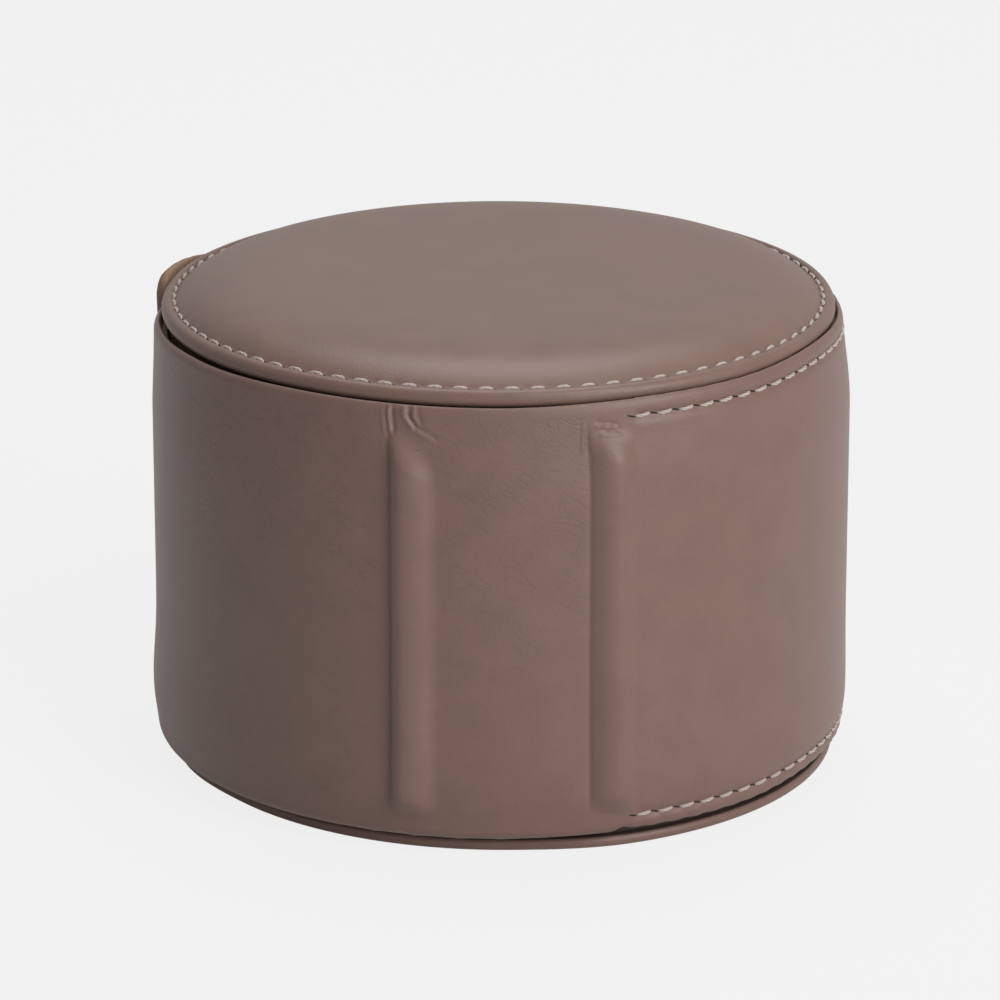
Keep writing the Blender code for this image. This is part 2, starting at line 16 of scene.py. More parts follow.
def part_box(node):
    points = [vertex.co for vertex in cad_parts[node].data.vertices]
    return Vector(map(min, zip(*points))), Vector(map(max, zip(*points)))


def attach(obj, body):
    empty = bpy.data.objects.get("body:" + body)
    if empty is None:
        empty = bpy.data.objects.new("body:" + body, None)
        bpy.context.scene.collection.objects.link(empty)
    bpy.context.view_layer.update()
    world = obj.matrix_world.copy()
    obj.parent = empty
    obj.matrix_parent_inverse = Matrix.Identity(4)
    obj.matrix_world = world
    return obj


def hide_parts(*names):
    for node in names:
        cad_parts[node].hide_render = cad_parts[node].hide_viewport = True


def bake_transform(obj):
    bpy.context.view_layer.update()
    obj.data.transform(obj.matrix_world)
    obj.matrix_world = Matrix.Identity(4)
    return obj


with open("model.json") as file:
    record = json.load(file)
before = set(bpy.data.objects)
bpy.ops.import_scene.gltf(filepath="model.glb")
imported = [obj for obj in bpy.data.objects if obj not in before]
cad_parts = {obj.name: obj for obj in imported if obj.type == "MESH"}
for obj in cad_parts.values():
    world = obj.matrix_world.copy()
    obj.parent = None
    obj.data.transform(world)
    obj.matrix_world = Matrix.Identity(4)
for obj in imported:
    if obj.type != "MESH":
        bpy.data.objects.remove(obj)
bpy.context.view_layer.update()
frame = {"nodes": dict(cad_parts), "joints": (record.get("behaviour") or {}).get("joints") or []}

bl_info = {
    "name": "Watch roll",
    "version": (1, 0, 0),
    "blender": (4, 5, 0),
    "location": "3D View > Sidebar > Watch roll",
    "description": "Leather, thread, linings, cushion and studio of a round watch roll",
    "category": "Object",
}


def lowest(node):
    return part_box(node)[0]


def highest(node):
    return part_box(node)[1]


# Hinges of the flap, from its root to its free end
HINGES = [joint for joint in frame["joints"] if joint["type"] == "hinge"]
HINGE_PLACES = [joint["pos_m"] for joint in HINGES]
HINGE_ANGLES = [math.degrees(math.atan2(x, -y)) % 360 for x, y, _ in HINGE_PLACES]
DRUM_RADIUS = math.hypot(*HINGE_PLACES[0][:2])

# Angles of the side and the flap
WALL_START = -97.0
FLAP_START = HINGE_ANGLES[0]
SEGMENT_ANGLE = HINGE_ANGLES[1] - HINGE_ANGLES[0]
FLAP_END = FLAP_START + SEGMENT_ANGLE * len(HINGES)
BLEND_REACH = 28.0
ROOT_BLEND_START = 21.0

# Lengths of leather between two middles of flap segments
PARTS = ("front", "right", "back", "end")
PART_BODIES = ("flap_front", "flap_side", "flap_back", "flap_end")
PART_EDGES = [WALL_START]
PART_EDGES += [angle + SEGMENT_ANGLE / 2 for angle in HINGE_ANGLES[:-1]]
PART_EDGES += [FLAP_END]

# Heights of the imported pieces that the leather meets
BASE_HIGH = highest("base_board").z
LINING_LOW = lowest("base_lining").z
LINING_HIGH = highest("top_lining").z
TOP_LOW = lowest("top_board").z
TOP_HIGH = highest("top_cover").z
STIFFENER_LOW = lowest("side_stiffener").z
STIFFENER_HIGH = highest("side_stiffener").z
WALL_LOW = lowest("side_leather").z
WALL_HIGH = highest("side_leather").z
FLAP_LOW = lowest("flap_front_leather").z
FLAP_HIGH = WALL_HIGH
DISC_RADIUS = highest("base_cover").x
DISC_LINING_RADIUS = highest("base_lining").x
CUSHION_RADIUS = highest("cushion_cover").x
CUSHION_LOW = lowest("cushion_cover").z
CUSHION_HIGH = highest("cushion_cover").z

# Layers of the side
CLEARANCE = 0.0003
SIDE_LEATHER = 0.0011
STIFFENER = 0.0012
LINING = 0.0009
LEATHER_IN = DRUM_RADIUS - SIDE_LEATHER
STIFFENER_OUT = LEATHER_IN - CLEARANCE
STIFFENER_IN = STIFFENER_OUT - STIFFENER
LINING_OUT = STIFFENER_IN - CLEARANCE
LINING_IN = LINING_OUT - LINING
HEM_IN = LINING_OUT + CLEARANCE
HEM_LOW = STIFFENER_LOW - CLEARANCE
HEM_HIGH = STIFFENER_HIGH + CLEARANCE
RIM_IN = DISC_RADIUS + 0.00022
EDGE_ROUND = 0.0015
EDGE_CREST = 0.00032
EDGE_BORDER = 0.0046
END_ROUND = 0.0006
END_MIDDLE = 0.0487
STEP_MARGIN = 0.0001

# Run of the edges round the drum
FLAP_RISE = (
    (22.3, 0.0),
    (42.0, 0.0),
    (66.0, 0.0005),
    (96.0, -0.0003),
    (229.0, 0.0),
    (255.0, 0.0021),
)
WALL_TOP = (
    (-97.0, -0.0020),
    (-80.0, -0.0014),
    (-60.0, -0.0009),
    (-32.0, -0.0005),
    (0.0, -0.0006),
    (22.3, -0.0003),
)
TOP_TRIM, LOW_LIFT = 0.0002, 0.0003

# Puckers that lift the low edge beside the ribs, as (angle, height, width in degrees)
LOW_PUCKERS = (
    (20.0, 0.00045, 1.3),
    (-16.3, 0.00025, 1.0),
)

# Corners, seam and lean of the side and the flap
FLAP_CORNER = 0.0034
SEAM_MARGIN, SEAM_CORNER = 0.0026, 0.0016
LINING_INSET = 0.0008
SCALLOP_LOW, SCALLOP_HIGH = 0.00007, 0.00002
LEAN, LEAN_START, LEAN_HEIGHT = -0.0004, 0.053, 0.013
BASE_SHIFT = 0.0003

# How the side draws in at the top, less at the flap's end, and swells and tucks at the foot
DRAW_LEVEL, DRAW_REACH = 0.051, 0.014
END_HELD, END_HELD_FROM = 0.85, 225.0
FOOT_LEVEL, FOOT_REACH = 0.0105, 0.0065
FOOT_TUCK, TUCK_LEVEL, TUCK_REACH = 0.0002, 0.009, 0.006

# Stretches round the drum, as (start, reach of its rise, end, reach of its fall) in degrees
CREASED_LEFT = (-84.0, 16.0, -16.5, 5.0)
CREASED_MIDDLE = (-10.5, 2.0, 15.0, 2.0)
TUCKED_FRONT = (-74.0, 22.0, 22.0, 21.0)

LAYER_LEVELS = 16

# Ribs in the side
RIB_ANGLES = (-13.9, 18.0)
RIB_LOW = LINING_LOW + 0.0011
RIB_HIGH = LINING_HIGH - 0.0012
RIB_FADE = 0.0052
RIB_SLANTS = (0.62, 0.18)
RIB_FOOT_SLANT = 0.12

# Reach of a rib, and place and width of the crease along its left foot, as shares of half
# the rib's width, and the crease's depth as a share of the rib's height
RIB_REACH = 1.185
RIB_CREASE_PLACE, RIB_CREASE_WIDTH = -1.09, 0.10
RIB_CREASE_DEPTH = 0.10

# Heights of each rib at even steps across it, as shares of its greatest height
RIB_SECTIONS = (
    (0, 0.16, 0.57, 0.85, 0.97, 1.0, 0.96, 0.89, 0.77, 0.61, 0.42, 0.22, 0.08, 0.01, 0),
    (0, 0.08, 0.30, 0.51, 0.70, 0.84, 0.94, 1.0, 0.98, 0.90, 0.73, 0.51, 0.24, 0.03, 0),
)

# Rows of stitches, and how the leather lies beside the flap's row
ROW_START = 21.4
DISC_SEAM_RADIUS = DISC_RADIUS - 0.00177
DISC_STITCHES = 83
BASE_THREAD_HIGH = highest("base_thread").z
TOP_SEAM_HEIGHT = TOP_HIGH - 0.00338
THREAD_SINK, FLAP_THREAD_SINK = 0.00010, 0.00016
GROUND_GAP = 0.00005
GROOVE_DEPTH, GROOVE_WIDTH = 0.00034, 0.00075
PINCH_DEPTH, PINCH_WIDTH = 0.00016, 0.0005
SWELL_HEIGHT, SWELL_AWAY, SWELL_WIDTH = 0.00008, 0.0014, 0.0007

# Covers of the end discs
CROWN_EDGE = DISC_SEAM_RADIUS - 0.00035
CROWN_RISE, CROWN_SINK = 0.00348, 0.0001
VALLEY_DEPTH, VALLEY_WIDTH = 0.00024, 0.00036
RIM_CREST, RIM_SLOPE = 0.00006, 0.28
BACK_RISE = 0.00030
SHOULDER_HEIGHT = 0.0012
LIP_HEIGHT, LIP_TUCK = 0.0007, 0.0009
TOP_BOARD_SEAT = TOP_LOW + 0.0016
BASE_BOARD_SEAT = 0.0012
BASE_BEAD = 0.0009
BASE_TUCK = 0.0009
RECESS_IN = 0.046

# Tongue behind the flap's end
TONGUE_FACE, TONGUE_BOARD, TONGUE_BACK = 0.0008, 0.0012, 0.0007
TONGUE_ROOT = WALL_START + math.degrees(0.0061 / DRUM_RADIUS)
TONGUE_END = FLAP_END - 360 - math.degrees(0.01658 / DRUM_RADIUS)
TONGUE_CORNER = 0.0060

# Watch cushion
PIPING_INSET, PIPING_THICKNESS = 0.0018, 0.0020
CUSHION_MARGIN = 0.0001
FILL_FRAMES = 20

# Shares of the pale floor and backdrop that reflections show, and the floor's glow
FLOOR_MIRRORED = 0.30
BACKDROP_MIRRORED = 0.62
FLOOR_GLOW, FLOOR_GLOW_SHARE = 1.038, 0.93

# Lamps, as (name, place, size), and what they and the camera look at
LAMPS = (
    ("key", (0.92, -0.77, 0.45), 0.60),
    ("high", (0.50, -0.70, 1.00), 0.50),
    ("low", (0.62, -1.12, 0.15), 0.60),
    ("top", (0.0, 0.35, 1.15), 0.80),
)
LAMP_TARGET = (0.0, 0.0, 0.035)
CAMERA_PLACE = (-0.00018, -0.76005, 0.28549)
CAMERA_TARGET = (-0.00018, 0.0, 0.03585)

# Short folds in the leather above the ribs: start and end as (angle, height), and depth.
# FOLD_PEAK brings the greatest value of x * exp(-x * x) to about 1.
FOLD_WIDTH, FOLD_PEAK = 0.00042, 2.3
FOLDS = (
    ((-17.4, 0.0645), (-17.1, 0.0608), 0.00020),
    ((-15.4, 0.0642), (-13.2, 0.0616), 0.00022),
    ((-13.2, 0.0616), (-10.0, 0.0603), 0.00017),
    ((-13.6, 0.0640), (-12.4, 0.0622), 0.00012),
    ((-18.4, 0.0636), (-17.9, 0.0600), 0.00011),
    ((15.2, 0.0622), (19.0, 0.0617), 0.00020),
    ((15.8, 0.0611), (19.6, 0.0609), 0.00015),
    ((13.8, 0.0625), (13.3, 0.0583), 0.00012),
)


class WATCHROLL_PG_leather(bpy.types.PropertyGroup):
    colour: FloatVectorProperty(
        name="Colour",
        description="Warmer of the two tones of the leather",
        subtype="COLOR",
        size=3,
        min=0.0,
        max=1.0,
        default=(0.229, 0.136, 0.113),
    )
    second_colour: FloatVectorProperty(
        name="Second colour",
        description="Greener tone that the leather drifts to",
        subtype="COLOR",
        size=3,
        min=0.0,
        max=1.0,
        default=(0.222, 0.139, 0.110),
    )
    roughness: FloatProperty(
        name="Roughness",
        description="Roughness of the smooth grain side",
        subtype="FACTOR",
        min=0.05,
        max=1.0,
        default=0.40,
    )
    grain_size: FloatProperty(
        name="Grain size",
        description="Width of one pebble of the grain",
        unit="LENGTH",
        precision=5,
        min=0.0001,
        default=0.00062,
    )
    grain_depth: FloatProperty(
        name="Grain depth",
        description="Depth of the lines between the pebbles",
        unit="LENGTH",
        precision=6,
        min=0.0,
        default=0.000009,
    )
    crease_depth: FloatProperty(
        name="Crease depth",
        description="Depth of the slanting creases in the side",
        unit="LENGTH",
        precision=6,
        min=0.0,
        default=0.000028,
    )


class WATCHROLL_PG_side(bpy.types.PropertyGroup):
    rib_width: FloatProperty(
        name="Rib width",
        description="Width of a rib at its foot",
        unit="LENGTH",
        precision=5,
        min=0.002,
        default=0.0065,
    )
    rib_height: FloatProperty(
        name="Rib height",
        description="Height of a rib over the side",
        unit="LENGTH",
        precision=5,
        min=0.0,
        default=0.0015,
    )
    top_draw: FloatProperty(
        name="Draw at the top",
        description="How far the side draws in towards the top disc",
        unit="LENGTH",
        precision=5,
        min=0.0,
        default=0.0008,
    )
    foot_swell: FloatProperty(
        name="Swell at the foot",
        description="How far the left side swells above the base disc",
        unit="LENGTH",
        precision=5,
        min=0.0,
        default=0.00065,
    )


class WATCHROLL_PG_stitches(bpy.types.PropertyGroup):
    colour: FloatVectorProperty(
        name="Colour",
        description="Colour of the thread",
        subtype="COLOR",
        size=3,
        min=0.0,
        max=1.0,
        default=(0.62, 0.53, 0.475),
    )
    pitch: FloatProperty(
        name="Pitch",
        description="Distance from one needle hole to the next",
        unit="LENGTH",
        precision=5,
        min=0.001,
        default=0.0035,
    )
    thickness: FloatProperty(
        name="Thickness",
        description="Thickness of the twisted thread",
        unit="LENGTH",
        precision=5,
        min=0.0002,
        default=0.00054,
    )
    showing: FloatProperty(
        name="Share showing",
        description="Share of the pitch that the thread covers",
        subtype="FACTOR",
        min=0.3,
        max=1.0,
        default=0.74,
    )
    slant: FloatProperty(
        name="Slant",
        description="Turn of each stitch away from its row",
        subtype="ANGLE",
        default=math.radians(7.0),
    )


class WATCHROLL_PG_linings(bpy.types.PropertyGroup):
    colour: FloatVectorProperty(
        name="Colour",
        description="Colour of the napped lining",
        subtype="COLOR",
        size=3,
        min=0.0,
        max=1.0,
        default=(0.330, 0.200, 0.130),
    )
    nap_size: FloatProperty(
        name="Nap size",
        description="Width of the brushed tufts",
        unit="LENGTH",
        precision=5,
        min=0.0001,
        default=0.0009,
    )


class WATCHROLL_PG_cushion(bpy.types.PropertyGroup):
    colour: FloatVectorProperty(
        name="Colour",
        description="Colour of the cushion's suede",
        subtype="COLOR",
        size=3,
        min=0.0,
        max=1.0,
        default=(0.300, 0.215, 0.170),
    )
    pressure: FloatProperty(
        name="Pressure",
        description="How hard the filling pushes against the suede",
        min=0.0,
        default=4.0,
    )
    give: FloatProperty(
        name="Give",
        description="Most that the suede may swell",
        unit="LENGTH",
        precision=5,
        min=0.0,
        default=0.0011,
    )


class WATCHROLL_PG_stage(bpy.types.PropertyGroup):
    backdrop: FloatVectorProperty(
        name="Backdrop",
        description="Colour of the floor and the backdrop",
        subtype="COLOR",
        size=3,
        min=0.0,
        max=1.0,
        default=(0.871, 0.871, 0.871),
    )
    key_power: FloatProperty(
        name="Key light",
        description="Power of the lamp at the right",
        unit="POWER",
        min=0.0,
        default=5.5,
    )
    high_power: FloatProperty(
        name="High light",
        description="Power of the high lamp in front",
        unit="POWER",
        min=0.0,
        default=4.8,
    )
    low_power: FloatProperty(
        name="Low light",
        description="Power of the low lamp in front",
        unit="POWER",
        min=0.0,
        default=2.3,
    )
    top_power: FloatProperty(
        name="Top light",
        description="Power of the large lamp overhead",
        unit="POWER",
        min=0.0,
        default=6.6,
    )
    ambient: FloatProperty(
        name="Ambient light",
        description="Strength of the light from all round",
        min=0.0,
        default=0.03,
    )
    lens: FloatProperty(
        name="Lens",
        description="Focal length on a 36 mm sensor",
        subtype="DISTANCE_CAMERA",
        min=10.0,
        default=199.23,
    )


SETTINGS = {
    "leather": WATCHROLL_PG_leather,
    "side": WATCHROLL_PG_side,
    "stitches": WATCHROLL_PG_stitches,
    "linings": WATCHROLL_PG_linings,
    "cushion": WATCHROLL_PG_cushion,
    "stage": WATCHROLL_PG_stage,
}


def settings(name):
    return getattr(bpy.context.scene, f"watch_roll_{name}")


# Shader nodes


def new_material(name):
    """A material and its tree, with a Principled BSDF in it."""
    made = bpy.data.materials.new(name)
    made.use_nodes = True
    return made, made.node_tree, made.node_tree.nodes["Principled BSDF"]


def add_node(tree, kind, inputs, output=0, **choices):
    """Adds a node, sets or links its inputs and returns one of its outputs."""
    made = tree.nodes.new("ShaderNode" + kind)
    for key, value in choices.items():
        setattr(made, key, value)
    for key, value in inputs.items():
        if isinstance(value, bpy.types.NodeSocket):
            tree.links.new(value, made.inputs[key])
        else:
            made.inputs[key].default_value = value
    return made.outputs[output]


def maths(tree, operation, *values):
    return add_node(tree, "Math", dict(enumerate(values)), operation=operation)


def noise(tree, place, scale, detail=2.0, roughness=0.5, distortion=0.0):
    inputs = {
        "Vector": place,
        "Scale": scale,
        "Detail": detail,
        "Roughness": roughness,
        "Distortion": distortion,
    }
    return add_node(tree, "TexNoise", inputs)


def cells(tree, place, scale, feature):
    inputs = {"Vector": place, "Scale": scale}
    return add_node(tree, "TexVoronoi", inputs, "Distance", feature=feature)


def ranged(tree, value, low, high, to_low=0.0, to_high=1.0, smooth=True):
    """The value, mapped from low..high to to_low..to_high and held at both ends."""
    inputs = {
        "Value": value,
        "From Min": low,
        "From Max": high,
        "To Min": to_low,
        "To Max": to_high,
    }
    kind = "SMOOTHSTEP" if smooth else "LINEAR"
    return add_node(tree, "MapRange", inputs, interpolation_type=kind)


def mixed(tree, share, first, second, blend="MIX"):
    """Colour between the first and the second."""
    made = tree.nodes.new("ShaderNodeMix")
    made.data_type = "RGBA"
    made.blend_type = blend
    for socket, value in ((0, share), (6, first), (7, second)):
        if isinstance(value, bpy.types.NodeSocket):
            tree.links.new(value, made.inputs[socket])
        elif socket == 0:
            made.inputs[socket].default_value = value
        else:
            made.inputs[socket].default_value = (*value, 1.0)
    return made.outputs[2]


def attribute(tree, name, output="Vector"):
    return add_node(tree, "Attribute", {}, output, attribute_name=name)


def object_place(tree):
    return add_node(tree, "TexCoord", {}, "Object")


def bumped(tree, surface, height):
    """Links a height in metres to the surface's normal."""
    inputs = {"Height": height, "Strength": 1.0, "Distance": 1.0}
    tree.links.new(add_node(tree, "Bump", inputs), surface.inputs["Normal"])


def turned_place(tree, place, turn, stretch):
    """The place turned in its plane, then stretched."""
    inputs = {"Vector": place, "Rotation": (0.0, 0.0, turn)}
    turned = add_node(tree, "Mapping", inputs)
    return add_node(tree, "VectorMath", {0: turned, 1: stretch}, operation="MULTIPLY")


def warped_place(tree, place, scale, reach):
    """The place, pushed about in its plane by a soft noise."""
    push = add_node(
        tree, "TexNoise", {"Vector": place, "Scale": scale, "Detail": 2.0}, "Color"
    )
    push = add_node(tree, "VectorMath", {0: push, 1: (0.5, 0.5, 0.5)}, operation="SUBTRACT")
    push = add_node(tree, "VectorMath", {0: push, 1: (reach, reach, 0.0)}, operation="MULTIPLY")
    return add_node(tree, "VectorMath", {0: place, 1: push}, operation="ADD")


def crease_lines(tree, place, turn, cell, width):
    """Broken lines between drawn-out cells: 1 in a line and 0 between lines."""
    stretch = (1.0 / cell[0], 1.0 / cell[1], 1.0)
    slanted = turned_place(tree, place, turn, stretch)
    edge = cells(tree, slanted, 1.0, "DISTANCE_TO_EDGE")
    line = ranged(tree, edge, 0.0, width, 1.0, 0.0)
    broken = ranged(tree, noise(tree, slanted, 0.8, detail=2.0), 0.40, 0.62)
    return maths(tree, "MULTIPLY", line, broken)


def needle_holes(tree):
    """1 in a needle hole of the seam and 0 elsewhere."""
    pitch = settings("stitches").pitch
    half_length, half_width, slant = 0.00078, 0.00015, 0.25
    seam = add_node(tree, "SeparateXYZ", {0: attribute(tree, "seam")}, "X")
    parts = seam.node.outputs
    phase = maths(tree, "FRACT", maths(tree, "ADD", parts["X"], 0.5))
    along = maths(tree, "MULTIPLY", maths(tree, "SUBTRACT", phase, 0.5), pitch)
    across = maths(tree, "ADD", parts["Y"], maths(tree, "MULTIPLY", along, slant))
    long_share = maths(tree, "DIVIDE", along, half_length)
    wide_share = maths(tree, "DIVIDE", across, half_width)
    both = add_node(tree, "CombineXYZ", {0: long_share, 1: wide_share})
    reach = add_node(tree, "VectorMath", {0: both}, "Value", operation="LENGTH")
    hole = ranged(tree, reach, 0.55, 1.0, 1.0, 0.0)
    return maths(tree, "MULTIPLY", hole, parts["Z"])


def leather_material():
    """Smooth grain leather with pebbles, pores, creases, needle holes and drifting tone; painted
    shade darkens the crease lines, the needle holes and the recesses under the disc rims.
    """
    look = settings("leather")
    # Colours of painted shade for the recesses under the disc rims and for the needle holes, and
    # the holes' depth
    recess_shade_colour, hole_shade_colour, hole_depth = (0.030, 0.020, 0.015), (0.012, 0.008, 0.006), 0.00025
    made, tree, surface = new_material("leather_taupe")
    place = attribute(tree, "leather_place")
    crease = attribute(tree, "crease", "Fac")

    bend = noise(tree, place, 260.0, detail=1.0)
    shift = maths(tree, "MULTIPLY", maths(tree, "SUBTRACT", bend, 0.5), 0.0006)
    shift = add_node(tree, "CombineXYZ", {0: shift, 1: shift})
    pushed = add_node(tree, "VectorMath", {0: place, 1: shift}, operation="ADD")
    pebble = cells(tree, pushed, 1.0 / look.grain_size, "DISTANCE_TO_EDGE")
    pebble = ranged(tree, pebble, 0.0, 0.34)
    fine = noise(tree, place, 5200.0, detail=2.0)
    pores = cells(tree, place, 620.0, "F1")
    pores = ranged(tree, pores, 0.06, 0.17, 1.0, 0.0)

    soft_place = warped_place(tree, place, 330.0, 0.0013)
    slanting = crease_lines(tree, soft_place, 0.38, (0.0030, 0.0010), 0.12)
    steep = crease_lines(tree, soft_place, 0.95, (0.0026, 0.0009), 0.10)
    broad = crease_lines(tree, soft_place, 0.55, (0.0085, 0.0030), 0.05)
    patches = ranged(tree, noise(tree, place, 90.0, detail=2.0), 0.38, 0.60)
    fewer = maths(tree, "SUBTRACT", 1.0, patches)
    lines = maths(tree, "MULTIPLY", slanting, maths(tree, "MULTIPLY_ADD", patches, 0.75, 0.25))
    steep = maths(tree, "MULTIPLY", steep, maths(tree, "MULTIPLY_ADD", fewer, 0.6, 0.1))
    lines = maths(tree, "MAXIMUM", lines, steep)
    lines = maths(tree, "MAXIMUM", lines, maths(tree, "MULTIPLY", broad, 0.8))
    lines = maths(tree, "MULTIPLY", lines, crease)
    holes = needle_holes(tree)
    dyed = attribute(tree, "dyed", "Fac")

    depth = look.grain_depth
    height = maths(tree, "MULTIPLY", pebble, depth)
    height = maths(tree, "MULTIPLY_ADD", fine, depth * 0.45, height)
    height = maths(tree, "MULTIPLY_ADD", pores, -depth * 1.2, height)
    height = maths(tree, "MULTIPLY_ADD", lines, -look.crease_depth, height)
    height = maths(tree, "MULTIPLY_ADD", holes, -hole_depth, height)
    bumped(tree, surface, height)

    drift = noise(tree, place, 24.0, detail=2.0)
    colour = mixed(tree, ranged(tree, drift, 0.35, 0.65), look.colour, look.second_colour)
    cloud = noise(tree, place, 160.0, detail=3.0)
    shade = ranged(tree, cloud, 0.25, 0.75, 0.95, 1.05)
    # Painted shade: the crease lines are darkened by a tenth
    shade = maths(tree, "MULTIPLY_ADD", lines, -0.10, shade)
    shade = maths(tree, "MULTIPLY_ADD", pebble, 0.03, shade)
    shade = add_node(tree, "CombineColor", {0: shade, 1: shade, 2: shade})
    colour = mixed(tree, 1.0, colour, shade, "MULTIPLY")
    # Painted shade: the recesses under the disc rims are darkened nearly to black
    colour = mixed(tree, maths(tree, "MULTIPLY", dyed, 0.85), colour, recess_shade_colour)
    # Painted shade: the needle holes are darkened nearly to black, standing in for the shade
    # inside them
    colour = mixed(tree, maths(tree, "MULTIPLY", holes, 0.93), colour, hole_shade_colour)
    tree.links.new(colour, surface.inputs["Base Color"])
    rough = ranged(tree, cloud, 0.2, 0.8, look.roughness - 0.02, look.roughness + 0.03)
    rough = maths(tree, "MULTIPLY_ADD", holes, 0.4, rough)
    tree.links.new(rough, surface.inputs["Roughness"])
    surface.inputs["Specular IOR Level"].default_value = 0.44
    surface.inputs["Sheen Weight"].default_value = 0.03
    surface.inputs["Sheen Roughness"].default_value = 0.45
    surface.inputs["Sheen Tint"].default_value = (0.80, 0.84, 0.92, 1.0)
    return made


def nap_material(name, colour, size):
    """Napped suede: short tufts, brushed patches and a soft sheen."""
    made, tree, surface = new_material(name)
    place = object_place(tree)
    tufts = noise(tree, place, 1.0 / size, detail=4.0, roughness=0.65)
    hairs = noise(tree, place, 6.0 / size, detail=2.0, roughness=0.7)
    brushed = noise(tree, place, 0.06 / size, detail=2.0, distortion=0.6)
    shade = ranged(tree, brushed, 0.3, 0.7, 0.88, 1.10)
    shade = maths(tree, "MULTIPLY_ADD", hairs, 0.30, maths(tree, "SUBTRACT", shade, 0.15))
    grey = add_node(tree, "CombineColor", {0: shade, 1: shade, 2: shade})
    tree.links.new(mixed(tree, 1.0, colour, grey, "MULTIPLY"), surface.inputs["Base Color"])
    rough = ranged(tree, tufts, 0.3, 0.7, 0.84, 0.96)
    tree.links.new(rough, surface.inputs["Roughness"])
    height = maths(tree, "MULTIPLY", tufts, size * 0.10)
    bumped(tree, surface, maths(tree, "MULTIPLY_ADD", hairs, size * 0.05, height))
    surface.inputs["Specular IOR Level"].default_value = 0.25
    surface.inputs["Sheen Weight"].default_value = 0.35
    surface.inputs["Sheen Roughness"].default_value = 0.5
    surface.inputs["Sheen Tint"].default_value = (0.85, 0.72, 0.62, 1.0)
    return made


def thread_material():
    """Waxed twisted thread: pale plies with painted shade in the valleys between them, and fine
    fibres.
    """
    made, tree, surface = new_material("thread_pale")
    colour = tuple(settings("stitches").colour)
    place = object_place(tree)
    ply = attribute(tree, "ply", "Fac")
    fibres = noise(tree, place, 9000.0, detail=3.0, roughness=0.7)
    # Painted shade: the valleys between the plies are darkened to 0.72 of the thread's colour
    dark = tuple(0.72 * value for value in colour)
    laid = mixed(tree, ranged(tree, ply, 0.0, 0.75), dark, colour)
    worn = ranged(tree, fibres, 0.3, 0.7, 0.88, 1.10)
    worn = add_node(tree, "CombineColor", {0: worn, 1: worn, 2: worn})
    tree.links.new(mixed(tree, 1.0, laid, worn, "MULTIPLY"), surface.inputs["Base Color"])
    tree.links.new(ranged(tree, fibres, 0.3, 0.7, 0.42, 0.62), surface.inputs["Roughness"])
    bumped(tree, surface, maths(tree, "MULTIPLY", fibres, 0.00003))
    surface.inputs["Sheen Weight"].default_value = 0.2
    return made


def board_material():
    """Pressed grey-brown board with short fibres."""
    made, tree, surface = new_material("board_pressed")
    place = object_place(tree)
    fibre_place = turned_place(tree, place, 0.4, (300.0, 1500.0, 900.0))
    fibres = noise(tree, fibre_place, 1.0, detail=4.0, roughness=0.7, distortion=0.4)
    specks = ranged(tree, cells(tree, place, 700.0, "F1"), 0.05, 0.16, 1.0, 0.0)
    colour = mixed(tree, fibres, (0.36, 0.295, 0.225), (0.47, 0.40, 0.31))
    speck_share = maths(tree, "MULTIPLY", specks, 0.4)
    colour = mixed(tree, speck_share, colour, (0.20, 0.16, 0.12))
    tree.links.new(colour, surface.inputs["Base Color"])
    tree.links.new(ranged(tree, fibres, 0.3, 0.7, 0.8, 0.92), surface.inputs["Roughness"])
    bumped(tree, surface, maths(tree, "MULTIPLY", fibres, 0.00008))
    return made


def stay_material():
    """Black moulded plastic, drawn lengthwise."""
    made, tree, surface = new_material("stay_plastic")
    place = object_place(tree)
    drawn = add_node(tree, "VectorMath", {0: place, 1: (2500, 2500, 60)}, operation="MULTIPLY")
    lines = noise(tree, drawn, 1.0, detail=2.0)
    colour = mixed(tree, lines, (0.045, 0.045, 0.050), (0.075, 0.075, 0.080))
    tree.links.new(colour, surface.inputs["Base Color"])
    tree.links.new(ranged(tree, lines, 0.3, 0.7, 0.45, 0.62), surface.inputs["Roughness"])
    bumped(tree, surface, maths(tree, "MULTIPLY", lines, 0.00002))
    return made


def magnet_material():
    """Nickel-plated magnet with fine turning lines and faint scratches."""
    made, tree, surface = new_material("magnet_nickel")
    place = object_place(tree)
    drawn = turned_place(tree, place, 0.3, (500.0, 500.0, 9000.0))
    lines = noise(tree, drawn, 1.0, detail=3.0, roughness=0.6)
    cloud = noise(tree, place, 500.0, detail=3.0)
    colour = mixed(tree, cloud, (0.50, 0.51, 0.52), (0.62, 0.62, 0.61))
    tree.links.new(colour, surface.inputs["Base Color"])
    rough = ranged(tree, lines, 0.3, 0.7, 0.22, 0.38)
    tree.links.new(rough, surface.inputs["Roughness"])
    bumped(tree, surface, maths(tree, "MULTIPLY", lines, 0.000006))
    surface.inputs["Metallic"].default_value = 1.0
    return made


def finish_named(name):
    """A finish of this roll, made the first time it is asked for."""
    makers = {
        "leather_taupe": leather_material,
        "thread_pale": thread_material,
        "board_pressed": board_material,
        "stay_plastic": stay_material,
        "magnet_nickel": magnet_material,
        "lining_nap": lambda: nap_material(
            "lining_nap", tuple(settings("linings").colour), settings("linings").nap_size
        ),
        "cushion_suede": lambda: nap_material(
            "cushion_suede", tuple(settings("cushion").colour), 0.0011
        ),
    }
    return bpy.data.materials.get(name) or makers[name]()


# Places round the drum


def smooth(share):
    share = np.clip(share, 0.0, 1.0)
    return share * share * (3 - 2 * share)


def hump(away, width):
    """Soft bell: 1 where away is 0, and nearly 0 from twice the width on."""
    return np.exp(-((away / width) ** 2))


